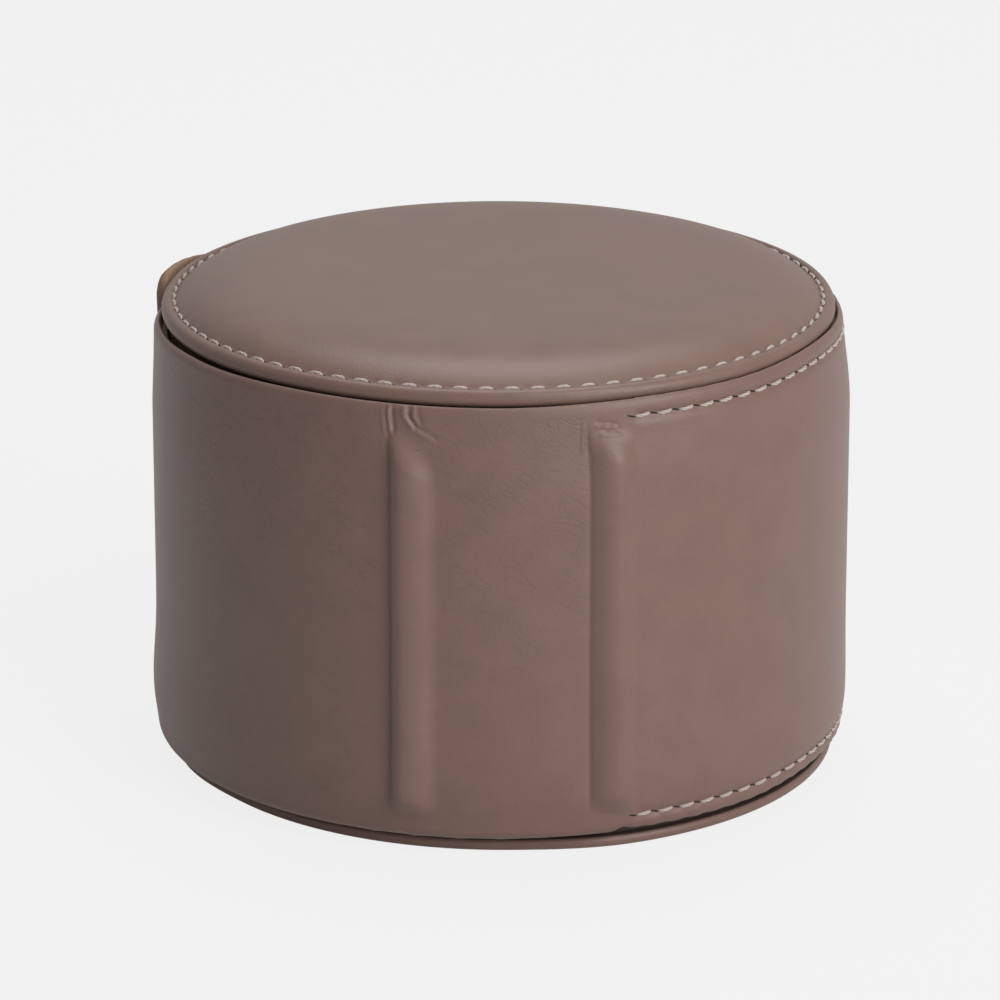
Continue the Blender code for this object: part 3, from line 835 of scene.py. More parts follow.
def between(angle, start, rise, end, fall):
    """1 inside a stretch of angles and 0 outside it, with a soft rise and fall at its ends."""
    return smooth((angle - start) / rise) * smooth((end - angle) / fall)


def on_drum(radius, angle, height):
    """Points at these radii, degrees and heights."""
    turn = np.radians(angle)
    radius, turn, height = np.broadcast_arrays(radius, turn, height)
    return np.stack([radius * np.sin(turn), -radius * np.cos(turn), height], axis=-1)


def arc(angle):
    """Length along the outer face from the front."""
    return np.radians(angle) * DRUM_RADIUS


def eased(angle, knots):
    """Value at this angle on soft steps between knots of (angle, value)."""
    angles, values = (np.array(column) for column in zip(*knots))
    place = np.interp(angle, angles, np.arange(len(knots)))
    first = np.minimum(place.astype(int), len(knots) - 2)
    return values[first] + (values[first + 1] - values[first]) * smooth(place - first)


def flap_rise(angle):
    return eased(angle, FLAP_RISE)


def corner_cut(distance, corner):
    """Height that a rounded corner takes off an edge, this far from the end."""
    inside = max(corner - distance, 0.0)
    return corner - math.sqrt(max(corner * corner - inside * inside, 0.0))


def side_edges(angle):
    """Low and high edge of the leather at one angle."""
    if angle > FLAP_START:
        cut = corner_cut(arc(FLAP_END) - arc(angle), FLAP_CORNER)
        rise = float(flap_rise(angle))
        trim = TOP_TRIM * float(smooth((250.0 - angle) / 20))
        return FLAP_LOW + LOW_LIFT + rise + cut, FLAP_HIGH + rise - trim - cut
    pucker = sum(height * hump(angle - place, width) for place, height, width in LOW_PUCKERS)
    low = WALL_LOW + (FLAP_LOW - WALL_LOW) * float(smooth((angle - 18) / (FLAP_START - 18)))
    return low + LOW_LIFT + pucker, WALL_HIGH + float(eased(angle, WALL_TOP))


def side_radius(angle, height):
    """Radius of the side's outer face, without ribs and folds."""
    look = settings("side")
    right = (1 + np.sin(np.radians(angle))) / 2
    held_out = END_HELD * smooth((angle - END_HELD_FROM) / 20)
    draw = look.top_draw * (1 - held_out) * smooth((height - DRAW_LEVEL) / DRAW_REACH)
    swell = look.foot_swell * (1 - 0.75 * right) * hump(height - FOOT_LEVEL, FOOT_REACH)
    tuck = (FOOT_TUCK + FOOT_TUCK * right) * smooth((TUCK_LEVEL - height) / TUCK_REACH)
    return DRUM_RADIUS - draw + swell - tuck


def rib_profile(heights):
    """Fine section of a rib, softened between the heights given across it."""
    places = np.linspace(0, len(heights) - 1, 20 * len(heights))
    fine = np.interp(places, np.arange(len(heights)), heights)
    for _ in range(2):
        fine = np.convolve(fine, np.full(15, 1 / 15), "same")
    return fine


RIB_PROFILES = [rib_profile(heights) for heights in RIB_SECTIONS]


def rib(angle, height):
    """Height of the ribs over the side: they rise slowly at their slanting ends."""
    look = settings("side")
    half = look.rib_width / 2
    total = 0.0
    for centre, slant, profile in zip(RIB_ANGLES, RIB_SLANTS, RIB_PROFILES):
        away = arc(angle) - arc(centre)
        top = RIB_HIGH - slant * (away + half) - height
        foot = height - RIB_LOW - RIB_FOOT_SLANT * (half - away)
        end = smooth(top / RIB_FADE) * smooth(foot / (0.7 * RIB_FADE))
        across = away / half
        places = np.linspace(-RIB_REACH, RIB_REACH, len(profile))
        crease = RIB_CREASE_DEPTH * hump(across - RIB_CREASE_PLACE, RIB_CREASE_WIDTH)
        total = total + end * (np.interp(across, places, profile) - crease)
    return look.rib_height * total


def folds(angle, height):
    """Height of the short folds above the ribs."""
    total = np.zeros(np.broadcast(angle, height).shape)
    for start, end, depth in FOLDS:
        first = np.array([arc(start[0]), start[1]])
        run = np.array([arc(end[0]), end[1]]) - first
        length = float(np.hypot(*run))
        run = run / length
        away_x, away_z = arc(angle) - first[0], height - first[1]
        along = (away_x * run[0] + away_z * run[1]) / length
        across = (away_x * run[1] - away_z * run[0]) / FOLD_WIDTH
        taper = np.clip(np.minimum(along, 1 - along) / 0.3 + 0.35, 0, 1)
        total = total + depth * FOLD_PEAK * across * hump(across, 1.0) * smooth(taper)
    return total


def crease_share(angle, height):
    """How creased the leather is, from 0 to 1: most on the left and between the ribs."""
    left = between(angle, *CREASED_LEFT)
    middle = between(angle, *CREASED_MIDDLE) * 0.8
    upper = 0.45 + 0.55 * smooth((height - 0.018) / 0.030)
    rest = 0.12 + 0.05 * np.cos(np.radians(angle * 3))
    return np.maximum(np.maximum(left, middle) * upper, rest)


class FlapSeam:
    """The row of stitches along the flap's low edge, round its end and back along its top."""

    def __init__(self):
        self.low = FLAP_LOW + SEAM_MARGIN
        self.high = FLAP_HIGH - SEAM_MARGIN
        self.corner = SEAM_CORNER
        self.start = float(arc(ROW_START))
        self.turn = float(arc(FLAP_END)) - SEAM_MARGIN - SEAM_CORNER
        self.straight = self.turn - self.start
        self.rise = self.high - self.low - 2 * self.corner
        self.bend = self.corner * math.pi / 2
        self.length = 2 * self.straight + 2 * self.bend + self.rise
        self.count = round(self.length / settings("stitches").pitch)
        self.pitch = self.length / self.count

    def measure(self, distance, height):
        """Length along the row and distance inside it, for points of the unrolled flap."""
        middle = (self.low + self.high) / 2
        upper = height > middle
        past = distance - self.turn
        up = np.abs(height - middle) - (self.rise / 2)
        outside = np.hypot(np.maximum(past, 0), np.maximum(up, 0))
        inside = self.corner - outside - np.minimum(np.maximum(past, up), 0)
        angle = np.arctan2(np.maximum(past, 0), np.maximum(up, 1e-9))
        to_corner = np.where(past > 0, self.straight + self.corner * angle, past + self.straight)
        along = np.where(upper, self.length - to_corner, to_corner)
        on_end = (past > 0) & (up <= 0)
        end_along = self.straight + self.bend + (height - self.low - self.corner)
        return np.where(on_end, end_along, along), inside

    def point(self, along):
        """Arc length and height of a point on the row, and the row's direction there."""
        upper = along > self.length / 2
        run = self.length - along if upper else along
        if run < self.straight:
            distance, height, way = self.start + run, self.low, (1.0, 0.0)
        elif run < self.straight + self.bend:
            turn = (run - self.straight) / self.corner
            distance = self.turn + self.corner * math.sin(turn)
            height = self.low + self.corner * (1 - math.cos(turn))
            way = (math.cos(turn), math.sin(turn))
        else:
            distance = self.turn + self.corner
            height = self.low + self.corner + run - self.straight - self.bend
            way = (0.0, 1.0)
        if upper:
            height = self.low + self.high - height
            way = (-way[0], way[1])
        return distance, height, way


# Meshes


def deselect_all():
    for thing in bpy.context.selected_objects:
        thing.select_set(False)


def choose(*things):
    """Selects only these objects and makes the first one active."""
    deselect_all()
    for thing in things:
        thing.select_set(True)
    bpy.context.view_layer.objects.active = things[0]


def new_object(name, vertices, faces, edges=()):
    mesh = bpy.data.meshes.new(name)
    mesh.from_pydata([tuple(map(float, v)) for v in vertices], edges, faces)
    made = bpy.data.objects.new(name, mesh)
    bpy.context.scene.collection.objects.link(made)
    return made


def outward(thing, threshold=1e-7):
    """Merges doubles and turns the faces outwards."""
    choose(thing)
    bpy.ops.object.mode_set(mode="EDIT")
    bpy.ops.mesh.select_all(action="SELECT")
    bpy.ops.mesh.remove_doubles(threshold=threshold)
    bpy.ops.mesh.normals_make_consistent(inside=False)
    bpy.ops.object.mode_set(mode="OBJECT")


def dress(thing, finish, slot, angle=38.0):
    """Smooth shading and material; the slot argument is not used."""
    choose(thing)
    bpy.ops.object.shade_smooth_by_angle(angle=math.radians(angle))
    thing.data.materials.append(finish_named(finish))
    return thing


def write_attribute(mesh, name, kind, values, domain="POINT"):
    made = mesh.attributes.get(name) or mesh.attributes.new(name, kind, domain)
    field = "vector" if kind == "FLOAT_VECTOR" else "value"
    made.data.foreach_set(field, np.asarray(values, np.float32).ravel())


def points_of(mesh):
    found = np.zeros(len(mesh.vertices) * 3, np.float32)
    mesh.vertices.foreach_get("co", found)
    return found.reshape(-1, 3).astype(float)


def round_axis(points):
    """Radius and turn from the front of each point, round the drum's axis."""
    return np.hypot(points[:, 0], points[:, 1]), np.arctan2(points[:, 0], -points[:, 1])


def set_points(mesh, points):
    mesh.vertices.foreach_set("co", np.asarray(points, np.float32).ravel())
    mesh.update()


def swept(name, rings):
    """One closed strip through rings of points, all with as many points."""
    count, size = len(rings), len(rings[0])
    faces = []
    for i in range(count - 1):
        for j in range(size):
            k = (j + 1) % size
            first, second = i * size, (i + 1) * size
            faces.append((first + j, first + k, second + k, second + j))
    faces.append(tuple(range(size)))
    faces.append(tuple(range((count - 1) * size, count * size)))
    return new_object(name, np.concatenate(rings), faces)


def spun(name, profile, steps):
    """Turns an open or closed profile of (radius, height) points round the drum's axis."""
    closed = profile[0][0] > 1e-6
    edges = [(i, i + 1) for i in range(len(profile) - 1)]
    if closed:
        edges.append((len(profile) - 1, 0))
    made = new_object(name, [(r, 0.0, z) for r, z in profile], [], edges)
    choose(made)
    bpy.ops.object.mode_set(mode="EDIT")
    bpy.ops.mesh.select_all(action="SELECT")
    bpy.ops.mesh.spin(
        steps=steps, angle=math.tau, center=(0.0, 0.0, 0.0), axis=(0.0, 0.0, 1.0)
    )
    bpy.ops.object.mode_set(mode="OBJECT")
    outward(made, 1e-6)
    return made


def blend_part(thing, index):
    """Bakes the transform of a length of the flap into its mesh; the points at its hinge are
    worked out but not used.
    """
    hinge = HINGE_ANGLES[index]
    start = ROOT_BLEND_START if index == 0 else hinge - BLEND_REACH
    height = HINGE_PLACES[index][2]
    first = on_drum(DRUM_RADIUS, start, height)
    last = on_drum(DRUM_RADIUS, hinge + BLEND_REACH, height)
    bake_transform(thing)


def replaced_nodes(layer):
    """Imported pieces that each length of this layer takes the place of."""
    nodes = [[f"{body}_{layer}"] for body in PART_BODIES]
    nodes[0].insert(0, f"side_{layer}")
    return nodes


def even_steps(start, end, step):
    count = max(1, math.ceil(abs(end - start) / step))
    return np.linspace(start, end, count + 1)


def part_angles(index, step, end_step, first=None, last=None):
    """Angles along one length of leather, closer together near the flap's free end."""
    start = PART_EDGES[index] if first is None else first
    end = PART_EDGES[index + 1] if last is None else last
    turn = math.degrees(step / DRUM_RADIUS)
    if index < len(PARTS) - 1:
        return even_steps(start, end, turn)
    near = end - math.degrees(FLAP_CORNER / DRUM_RADIUS)
    shares = np.sin(np.linspace(0, math.pi / 2, round(FLAP_CORNER * 1.57 / end_step)))
    return np.concatenate([even_steps(start, near, turn)[:-1], near + (end - near) * shares])


# Side and flap leather


def outer_levels(step, high_border, high_step):
    """Shares of the outer face's height, closer together near both edges."""
    height = FLAP_HIGH - FLAP_LOW - 2 * EDGE_ROUND
    near = even_steps(0.0, EDGE_BORDER, 0.0004)
    middle = even_steps(EDGE_BORDER, height - high_border, step)
    far = height - even_steps(0.0, high_border, high_step)[::-1]
    return np.concatenate([near, middle[1:-1], far]) / height


def rounded_edge(outside, inside, edge, way):
    """Turned edge, from the outer face round to the inner one, with its crest near the rim."""
    crest = inside + EDGE_CREST
    outer = np.linspace(0, math.pi / 2, 9)[1:]
    inner = np.linspace(math.pi / 2, math.pi, 4)[1:-1]
    radii = [crest + (outside - crest) * np.cos(outer), crest + EDGE_CREST * np.cos(inner)]
    heights = [edge - way * EDGE_ROUND * (1 - np.sin(outer))]
    heights.append(edge - way * EDGE_CREST * (1 - np.sin(inner)))
    return np.concatenate(radii), np.concatenate(heights)


def leaning(points):
    """The points, moved sideways as the roll leans near its top."""
    moved = np.array(points, float)
    moved[..., 0] += LEAN * smooth((moved[..., 2] - LEAN_START) / LEAN_HEIGHT)
    return moved


def leather_ring(angle, levels, seam, has_end):
    """One section of the leather: points, place on the hide, seam and crease values."""
    low, high = side_edges(angle)
    on_flap = float(smooth((angle - ROW_START) / 1.5))
    sewn = float(smooth((angle - ROW_START + 1.9) / 0.8))
    distance = float(arc(angle))
    wave = on_flap * math.cos(math.tau * (distance - seam.start) / seam.pitch)
    low, high = low - SCALLOP_LOW * wave, high + SCALLOP_HIGH * wave
    face = low + EDGE_ROUND + levels * (high - low - 2 * EDGE_ROUND)
    rise = float(flap_rise(angle)) if angle > FLAP_START else 0.0
    radius = side_radius(angle, face)
    relief = rib(angle, face) + folds(angle, face)
    along, inside = seam.measure(distance, face - rise)
    groove = GROOVE_DEPTH * hump(inside, GROOVE_WIDTH)
    pinch = np.cos(np.pi * along / seam.pitch) ** 6 * PINCH_DEPTH
    groove = groove + pinch * hump(inside, PINCH_WIDTH)
    swell = SWELL_HEIGHT * hump(inside + SWELL_AWAY, SWELL_WIDTH)
    radius = radius + relief - (groove - swell) * on_flap
    low_radii, low_heights = rounded_edge(float(radius[0]), RIM_IN, low, -1)
    high_radii, high_heights = rounded_edge(float(radius[-1]), RIM_IN, high, 1)
    high_step = min(high - EDGE_ROUND - STEP_MARGIN, LINING_HIGH)
    low_step = max(low + EDGE_ROUND + STEP_MARGIN, LINING_LOW)
    hem_high = min(HEM_HIGH, high_step - STEP_MARGIN)
    hem_low = max(HEM_LOW, low_step + STEP_MARGIN)
    pocket_heights = np.linspace(hem_high, hem_low, 20)
    pocket = LEATHER_IN + rib(angle, pocket_heights)
    if has_end and distance > arc(FLAP_END) - (STIFFENER_LOW - LINING_LOW):
        pocket = np.full(len(pocket_heights), HEM_IN)
    inner_low = [
        *zip(pocket, pocket_heights),
        (HEM_IN, hem_low),
        (HEM_IN, low_step),
        (RIM_IN, low_step),
        (RIM_IN, low + EDGE_CREST),
    ]
    inner_high = [
        (RIM_IN, high - EDGE_CREST),
        (RIM_IN, high_step),
        (HEM_IN, high_step),
        (HEM_IN, hem_high),
    ]
    low_in, high_in = np.array(inner_low), np.array(inner_high)
    radii = np.concatenate(
        [low_in[:, 0], low_radii[::-1], radius, high_radii, high_in[:, 0]]
    )
    heights = np.concatenate(
        [low_in[:, 1], low_heights[::-1], face, high_heights, high_in[:, 1]]
    )
    close = min(distance - arc(WALL_START), arc(FLAP_END) - distance) / END_ROUND
    if close < 1:
        thin = math.sqrt(max(1 - (1 - close) ** 2, 0.01))
        radii = END_MIDDLE + (radii - END_MIDDLE) * thin
    steps = np.hypot(np.diff(radii), np.diff(heights))
    first = len(low_in) + len(low_radii)
    run = np.concatenate([[0], np.cumsum(steps)])
    run += float(face[0]) - run[first]
    along, inside = seam.measure(distance, heights - rise)
    count = len(radii)
    places = np.stack([np.full(count, distance), run, np.zeros(count)], -1)
    phase = np.stack([along / seam.pitch, inside, np.full(count, sewn)], -1)
    creased = np.full(count, 0.1)
    creased[first : first + len(face)] = crease_share(angle, face)
    return leaning(on_drum(radii, angle, heights)), places, phase, creased


def leather_part(index):
    """One length of the side and flap leather, with its attributes."""
    seam = FlapSeam()
    if index == 0:
        step, levels = 0.0004, outer_levels(0.0007, 0.0085, 0.00022)
    else:
        step, levels = 0.0006, outer_levels(0.0013, EDGE_BORDER, 0.0004)
    has_end = index == len(PARTS) - 1
    angles = part_angles(index, step, 0.0004)
    if index == 0:
        ribs = [even_steps(centre - 5.5, centre + 4.0, 0.23) for centre in RIB_ANGLES]
        angles = np.unique(np.round(np.concatenate([angles, *ribs]), 2))
    rings = [leather_ring(float(angle), levels, seam, has_end) for angle in angles]
    made = swept(f"leather_{PARTS[index]}", [ring[0] for ring in rings])
    joined = [np.concatenate([ring[i] for ring in rings]) for i in (1, 2, 3)]
    write_attribute(made.data, "leather_place", "FLOAT_VECTOR", joined[0])
    write_attribute(made.data, "seam", "FLOAT_VECTOR", joined[1])
    write_attribute(made.data, "crease", "FLOAT", joined[2])
    outward(made)
    dress(made, "leather_taupe", "leather")
    if has_end:
        line_inner_face(made)
    return made


def line_inner_face(thing):
    """Gives the inner face of the flap's raised end the lining's finish."""
    thing.data.materials.append(finish_named("lining_nap"))
    points = points_of(thing.data)
    lean = LEAN * smooth((points[:, 2] - LEAN_START) / LEAN_HEIGHT)
    radii = np.hypot(points[:, 0] - lean, points[:, 1])
    raised_level, raised_left = TOP_HIGH - 0.0060, -0.030
    for face in thing.data.polygons:
        corners = list(face.vertices)
        raised = face.center.z > raised_level and face.center.x < raised_left
        if radii[corners].max() < RIM_IN + (0.0010 if raised else 0.00008):
            face.material_index = 1


# Linings and stiffeners


def layer_section(inside, outside, low, high, softness):
    """Closed section of a flat layer with rounded edges, as radii and heights."""
    turns = np.linspace(0, math.pi, 7)[1:-1]
    middle, half = (inside + outside) / 2, (outside - inside) / 2
    levels = np.linspace(low + softness, high - softness, LAYER_LEVELS)
    over_radii = middle + half * np.cos(turns)
    over_heights = high - softness * (1 - np.sin(turns))
    under_heights = low + softness * (1 - np.sin(turns))
    radii = [np.full(len(levels), outside), over_radii, np.full(len(levels), inside)]
    heights = [levels, over_heights, levels[::-1]]
    radii.append(over_radii[::-1])
    heights.append(under_heights)
    return np.concatenate(radii), np.concatenate(heights)


def lining_edges(angle):
    low, high = side_edges(angle)
    if angle > FLAP_START:
        return max(LINING_LOW, low + LINING_INSET), min(LINING_HIGH, high - LINING_INSET)
    return LINING_LOW, min(LINING_HIGH, high)


def layer_part(name, angles, inside, outside, edges, softness):
    rings = []
    for angle in angles:
        low, high = edges(float(angle))
        radii, heights = layer_section(inside, outside, low, high, softness)
        rings.append(leaning(on_drum(radii, angle, heights)))
    made = swept(name, rings)
    outward(made)
    return made


def end_disc(name, low, high):
    """A disc of lining with a rolled edge and a soft swell."""
    radius = DISC_LINING_RADIUS
    middle, half = (low + high) / 2, (high - low) / 2
    swell = 0.00012 if name.startswith("lining_base") else -0.00012
    turns = np.linspace(-math.pi / 2, math.pi / 2, 9)
    edge = [(radius - half + half * math.cos(t), middle + half * math.sin(t)) for t in turns]
    shares = np.linspace(0, 1, 7)[:-1]
    inner = (radius - half) * shares
    under = [(r, low + min(swell, 0) * (1 - s**4)) for r, s in zip(inner, shares)]
    over = [(r, high + max(swell, 0) * (1 - s**4)) for r, s in zip(inner, shares)]
    made = spun(name, under + edge + over[::-1], 96)
    dress(made, "lining_nap", "lining")
    return made


# Covers of the end discs


def disc_attributes(thing, seam_side, painted_shade_low, painted_shade_high):
    """Writes the hide place, the seam and the painted shade that darkens the recess between two
    heights of a disc.
    """
    mesh = thing.data
    points = points_of(mesh)
    radii, turns = round_axis(points)
    places = points + np.array([0.31, 0.17 * seam_side, 0.0])
    write_attribute(mesh, "leather_place", "FLOAT_VECTOR", places)
    write_attribute(mesh, "crease", "FLOAT", np.full(len(points), 0.05))
    high = np.full(len(points), painted_shade_high)
    if seam_side > 0:
        around = np.linspace(-180.0, 180.0, 361)
        edges = [side_edges(a if a > WALL_START else a + 360)[1] for a in around]
        high = np.minimum(np.interp(np.degrees(turns), around, edges), TOP_BOARD_SEAT)
    # Painted shade: the recess under the rim, between these heights and outside RECESS_IN, is
    # marked to be darkened nearly to black
    recess = (points[:, 2] > painted_shade_low) & (points[:, 2] < high) & (radii > RECESS_IN)
    write_attribute(mesh, "dyed", "FLOAT", recess.astype(float))
    corners = np.zeros(len(mesh.loops), np.int32)
    mesh.loops.foreach_get("vertex_index", corners)
    phase = (turns % math.tau)[corners] / math.tau * DISC_STITCHES
    half_round = DISC_STITCHES / 2
    for face in mesh.polygons:
        run = slice(face.loop_start, face.loop_start + face.loop_total)
        if np.ptp(phase[run]) > half_round:
            phase[run] += np.where(phase[run] < half_round, DISC_STITCHES, 0)
    seen = (np.abs(radii - DISC_SEAM_RADIUS) < 0.004)[corners]
    inside = (DISC_SEAM_RADIUS - radii)[corners]
    values = np.stack([phase, inside, seen.astype(float)], -1)
    write_attribute(mesh, "seam", "FLOAT_VECTOR", values, "CORNER")


def pinch_seam(thing, depth, side):
    """Draws the leather of a disc towards its needle holes."""
    points = points_of(thing.data)
    radii, turns = round_axis(points)
    holes = np.cos(turns * DISC_STITCHES / 2) ** 6
    points[:, 2] -= side * depth * holes * hump(radii - DISC_SEAM_RADIUS, 0.00055)
    set_points(thing.data, points)


def top_face(radius):
    """Height of the top cover's face at this radius, from the crown out to the bead."""
    if radius <= CROWN_EDGE:
        return TOP_SEAM_HEIGHT - CROWN_SINK + CROWN_RISE * (1 - (radius / CROWN_EDGE) ** 12)
    valley = VALLEY_DEPTH * hump(radius - DISC_SEAM_RADIUS, VALLEY_WIDTH)
    crest = RIM_CREST * smooth((radius - DISC_SEAM_RADIUS) / 0.0004)
    fall = RIM_SLOPE * max(radius - DISC_SEAM_RADIUS - 0.0002, 0.0)
    return TOP_SEAM_HEIGHT - valley + crest - fall


def top_profile():
    """Half section of the top cover, from its middle over the crown and the bead."""
    rings = 26
    inner = [CROWN_EDGE * (1 - (i / rings) ** 1.7) for i in range(rings, 0, -1)]
    inner += [CROWN_EDGE + 0.00014 * i for i in range(0, 8)]
    face = [(max(r, 0.0), top_face(r)) for r in inner]
    start_radius, start_height = face[-1]
    wide = DISC_RADIUS - start_radius
    turns = np.linspace(math.pi / 2, 0, 11)[1:]
    shoulder = [
        (start_radius + wide * math.cos(t), start_height - SHOULDER_HEIGHT * (1 - math.sin(t)))
        for t in turns
    ]
    low, lip_high = TOP_LOW, TOP_LOW + LIP_HEIGHT
    below = start_height - SHOULDER_HEIGHT - low - LIP_HEIGHT
    turns = np.linspace(0, -math.radians(80), 9)[1:]
    lip = [
        (DISC_RADIUS - LIP_TUCK * (1 - math.cos(t)), lip_high + below * (1 + math.sin(t)))
        for t in turns
    ]
    outer, wall = DISC_RADIUS - 0.0010, DISC_RADIUS - 0.0012
    lip += [(outer, low + 0.0004), (outer, low)]
    under = [(wall, low), (wall, TOP_BOARD_SEAT), (0.0, TOP_BOARD_SEAT)]
    return face + shoulder + lip + under


def seat_top(thing):
    """Raises the bead at the back, lets the rim reach down to the side and leans it."""
    points = points_of(thing.data)
    radii, _ = round_axis(points)
    bead = smooth((radii - DISC_SEAM_RADIUS) / 0.0005)
    back = smooth((points[:, 1] + 0.005) / 0.020)
    upper = np.clip((points[:, 2] - TOP_LOW - 0.0015) / 0.0012, 0, 1)
    points[:, 2] += BACK_RISE * bead * back * upper
    drop = 0.00025 * smooth((radii - DISC_RADIUS + 0.0011) / 0.0003)
    points[:, 2] -= drop * np.clip((TOP_LOW + 0.0019 - points[:, 2]) / 0.0009, 0, 1)
    points[:, 0] += LEAN
    set_points(thing.data, points)


def base_profile():
    """Half section of the base cover: flat below, a bead at the rim and a neck over it."""
    bead = BASE_BEAD
    centre = DISC_RADIUS - 0.0001 - bead
    half, step, width = 0.0012, 0.00016, 0.0005
    depth = BASE_THREAD_HIGH + 0.0001
    start = DISC_SEAM_RADIUS - half
    flat = [(0.0, 0.0), (0.02, 0.0), (0.038, 0.0), (start, 0.0)]
    groove = [
        (start + step * i, depth * math.exp(-(((step * i - half) / width) ** 4)))
        for i in range(1, 11)
    ]
    turns = np.linspace(-math.radians(86), math.radians(96), 20)
    rim = [(centre + bead * math.cos(t), bead + bead * math.sin(t)) for t in turns]
    neck, wall = DISC_RADIUS - 0.0010, DISC_RADIUS - 0.0014
    rise = [(neck, 2 * bead + 0.0001), (neck, 2 * bead + 0.0006), (neck, BASE_HIGH)]
    top = [(wall, BASE_HIGH), (wall, BASE_BOARD_SEAT), (0.0, BASE_BOARD_SEAT)]
    return flat + groove + rim + rise + top


def seat_base(thing):
    """Draws the bead in at the front left and moves the cover as it lies."""
    points = points_of(thing.data)
    radii, turns = round_axis(points)
    front_left = between(np.degrees(turns), *TUCKED_FRONT)
    bead = smooth((radii - DISC_SEAM_RADIUS + 0.0006) / 0.0008)
    low = np.clip((2 * BASE_BEAD + 0.0004 - points[:, 2]) / 0.0004, 0, 1)
    shrink = BASE_TUCK * front_left * bead * low
    points[:, :2] *= (1 - shrink / radii.clip(1e-6))[:, None]
    points[:, 0] += BASE_SHIFT
    set_points(thing.data, points)


# Stitches


def model_stitch():
    """One stitch along X: three plies twisted together, with both ends sunk into holes."""
    look = settings("stitches")
    length = look.pitch * look.showing
    deselect_all()
    bpy.ops.mesh.primitive_cylinder_add(
        vertices=9,
        radius=look.thickness / 2,
        depth=length,
        rotation=(0.0, math.pi / 2, 0.0),
    )
    stitch = bpy.context.active_object
    bpy.ops.object.transform_apply(location=True, rotation=True, scale=True)
    mesh = stitch.data
    bpy.ops.object.mode_set(mode="EDIT")
    bpy.ops.mesh.select_all(action="DESELECT")
    bpy.ops.object.mode_set(mode="OBJECT")
    for edge in mesh.edges:
        first, second = (mesh.vertices[i].co for i in edge.vertices)
        edge.select = abs(first.x - second.x) > length / 2
    bpy.ops.object.mode_set(mode="EDIT")
    bpy.ops.mesh.subdivide(number_cuts=6)
    bpy.ops.object.mode_set(mode="OBJECT")
    points = points_of(mesh)
    share = points[:, 0] / (length / 2)
    around = np.arctan2(points[:, 2], points[:, 1])
    ply = 0.5 + 0.5 * np.cos(3 * around)
    write_attribute(mesh, "ply", "FLOAT", ply)
    turn = around + share * math.radians(170)
    size = look.thickness / 2 * (0.90 + 0.14 * ply) * (1 - 0.55 * share**4)
    points[:, 1] = size * np.cos(turn)
    points[:, 2] = size * np.sin(turn) - 0.00055 * share**4
    set_points(mesh, points)
    return stitch


def stitch_row(name, stitch, places):
    """Copies the stitch to each (point, direction, outward) and joins the copies."""
    copies = []
    for point, way, out in places:
        way = Vector(way).normalized()
        out = (Vector(out) - way * way.dot(Vector(out))).normalized()
        way = Matrix.Rotation(settings("stitches").slant, 3, out) @ way
        turned = Matrix((way, out.cross(way), out)).transposed().to_4x4()
        copied = stitch.copy()
        copied.data = stitch.data.copy()
        copied.data.transform(Matrix.Translation(Vector(point)) @ turned)
        bpy.context.scene.collection.objects.link(copied)
        copies.append(copied)
    choose(*copies)
    if len(copies) > 1:
        bpy.ops.object.join()
    made = bpy.context.view_layer.objects.active
    made.name = name
    made.data.name = name
    return dress(made, "thread_pale", "thread", angle=70.0)


def flap_places(seam):
    """(angle, along, point, direction, outward) of each stitch of the flap."""
    found = []
    for i in range(seam.count):
        along = (i + 0.5) * seam.pitch
        distance, height, way = seam.point(along)
        angle = math.degrees(distance / DRUM_RADIUS)
        height += float(flap_rise(angle)) if angle > FLAP_START else 0.0
        radius = float(side_radius(angle, np.array(height))) - FLAP_THREAD_SINK
        point = leaning(on_drum(radius, angle, height))
        turn = math.radians(angle)
        level = np.array([math.cos(turn), math.sin(turn), 0.0]) * way[0]
        direction = level + np.array([0.0, 0.0, way[1]])
        outwards = (math.sin(turn), -math.cos(turn), 0.0)
        found.append((angle, along, point, direction, outwards))
    return found


def disc_places(height, shift, side):
    """(point, direction, outward) of each stitch of a disc, facing up or down."""
    found = []
    for i in range(DISC_STITCHES):
        angle = 360 * (i + 0.5) / DISC_STITCHES
        turn = math.radians(angle)
        point = on_drum(DISC_SEAM_RADIUS, angle, height) + np.array([shift, 0.0, 0.0])
        found.append((point, (math.cos(turn), math.sin(turn), 0.0), (0.0, 0.0, side)))
    return found


class WATCHROLL_OT_side(bpy.types.Operator):
    """Lay the leather of the side and the flap, with ribs, folds and a grooved seam"""

    bl_idname = "watch_roll.side"
    bl_label = "Side and flap leather"

    def execute(self, context):
        for index, nodes in enumerate(replaced_nodes("leather")):
            made = leather_part(index)
            blend_part(made, index)
            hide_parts(*nodes)
        return {"FINISHED"}


class WATCHROLL_OT_linings(bpy.types.Operator):
    """Line the side, the flap and both end discs with napped suede"""

    bl_idname = "watch_roll.linings"
    bl_label = "Linings"

    def execute(self, context):
        last = FLAP_END - math.degrees(LINING_INSET / DRUM_RADIUS)
        for index, nodes in enumerate(replaced_nodes("lining")):
            is_end = index == len(PARTS) - 1
            angles = part_angles(index, 0.0016, 0.0006, last=last if is_end else None)
            made = layer_part(
                f"lining_{PARTS[index]}", angles, LINING_IN, LINING_OUT, lining_edges, 0.00035
            )
            dress(made, "lining_nap", "lining")
            blend_part(made, index)
            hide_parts(*nodes)
        for name, node in (("lining_base", "base_lining"), ("lining_top", "top_lining")):
            made = end_disc(name, lowest(node).z, highest(node).z)
            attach(made, "drum")
            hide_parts(node)
        return {"FINISHED"}


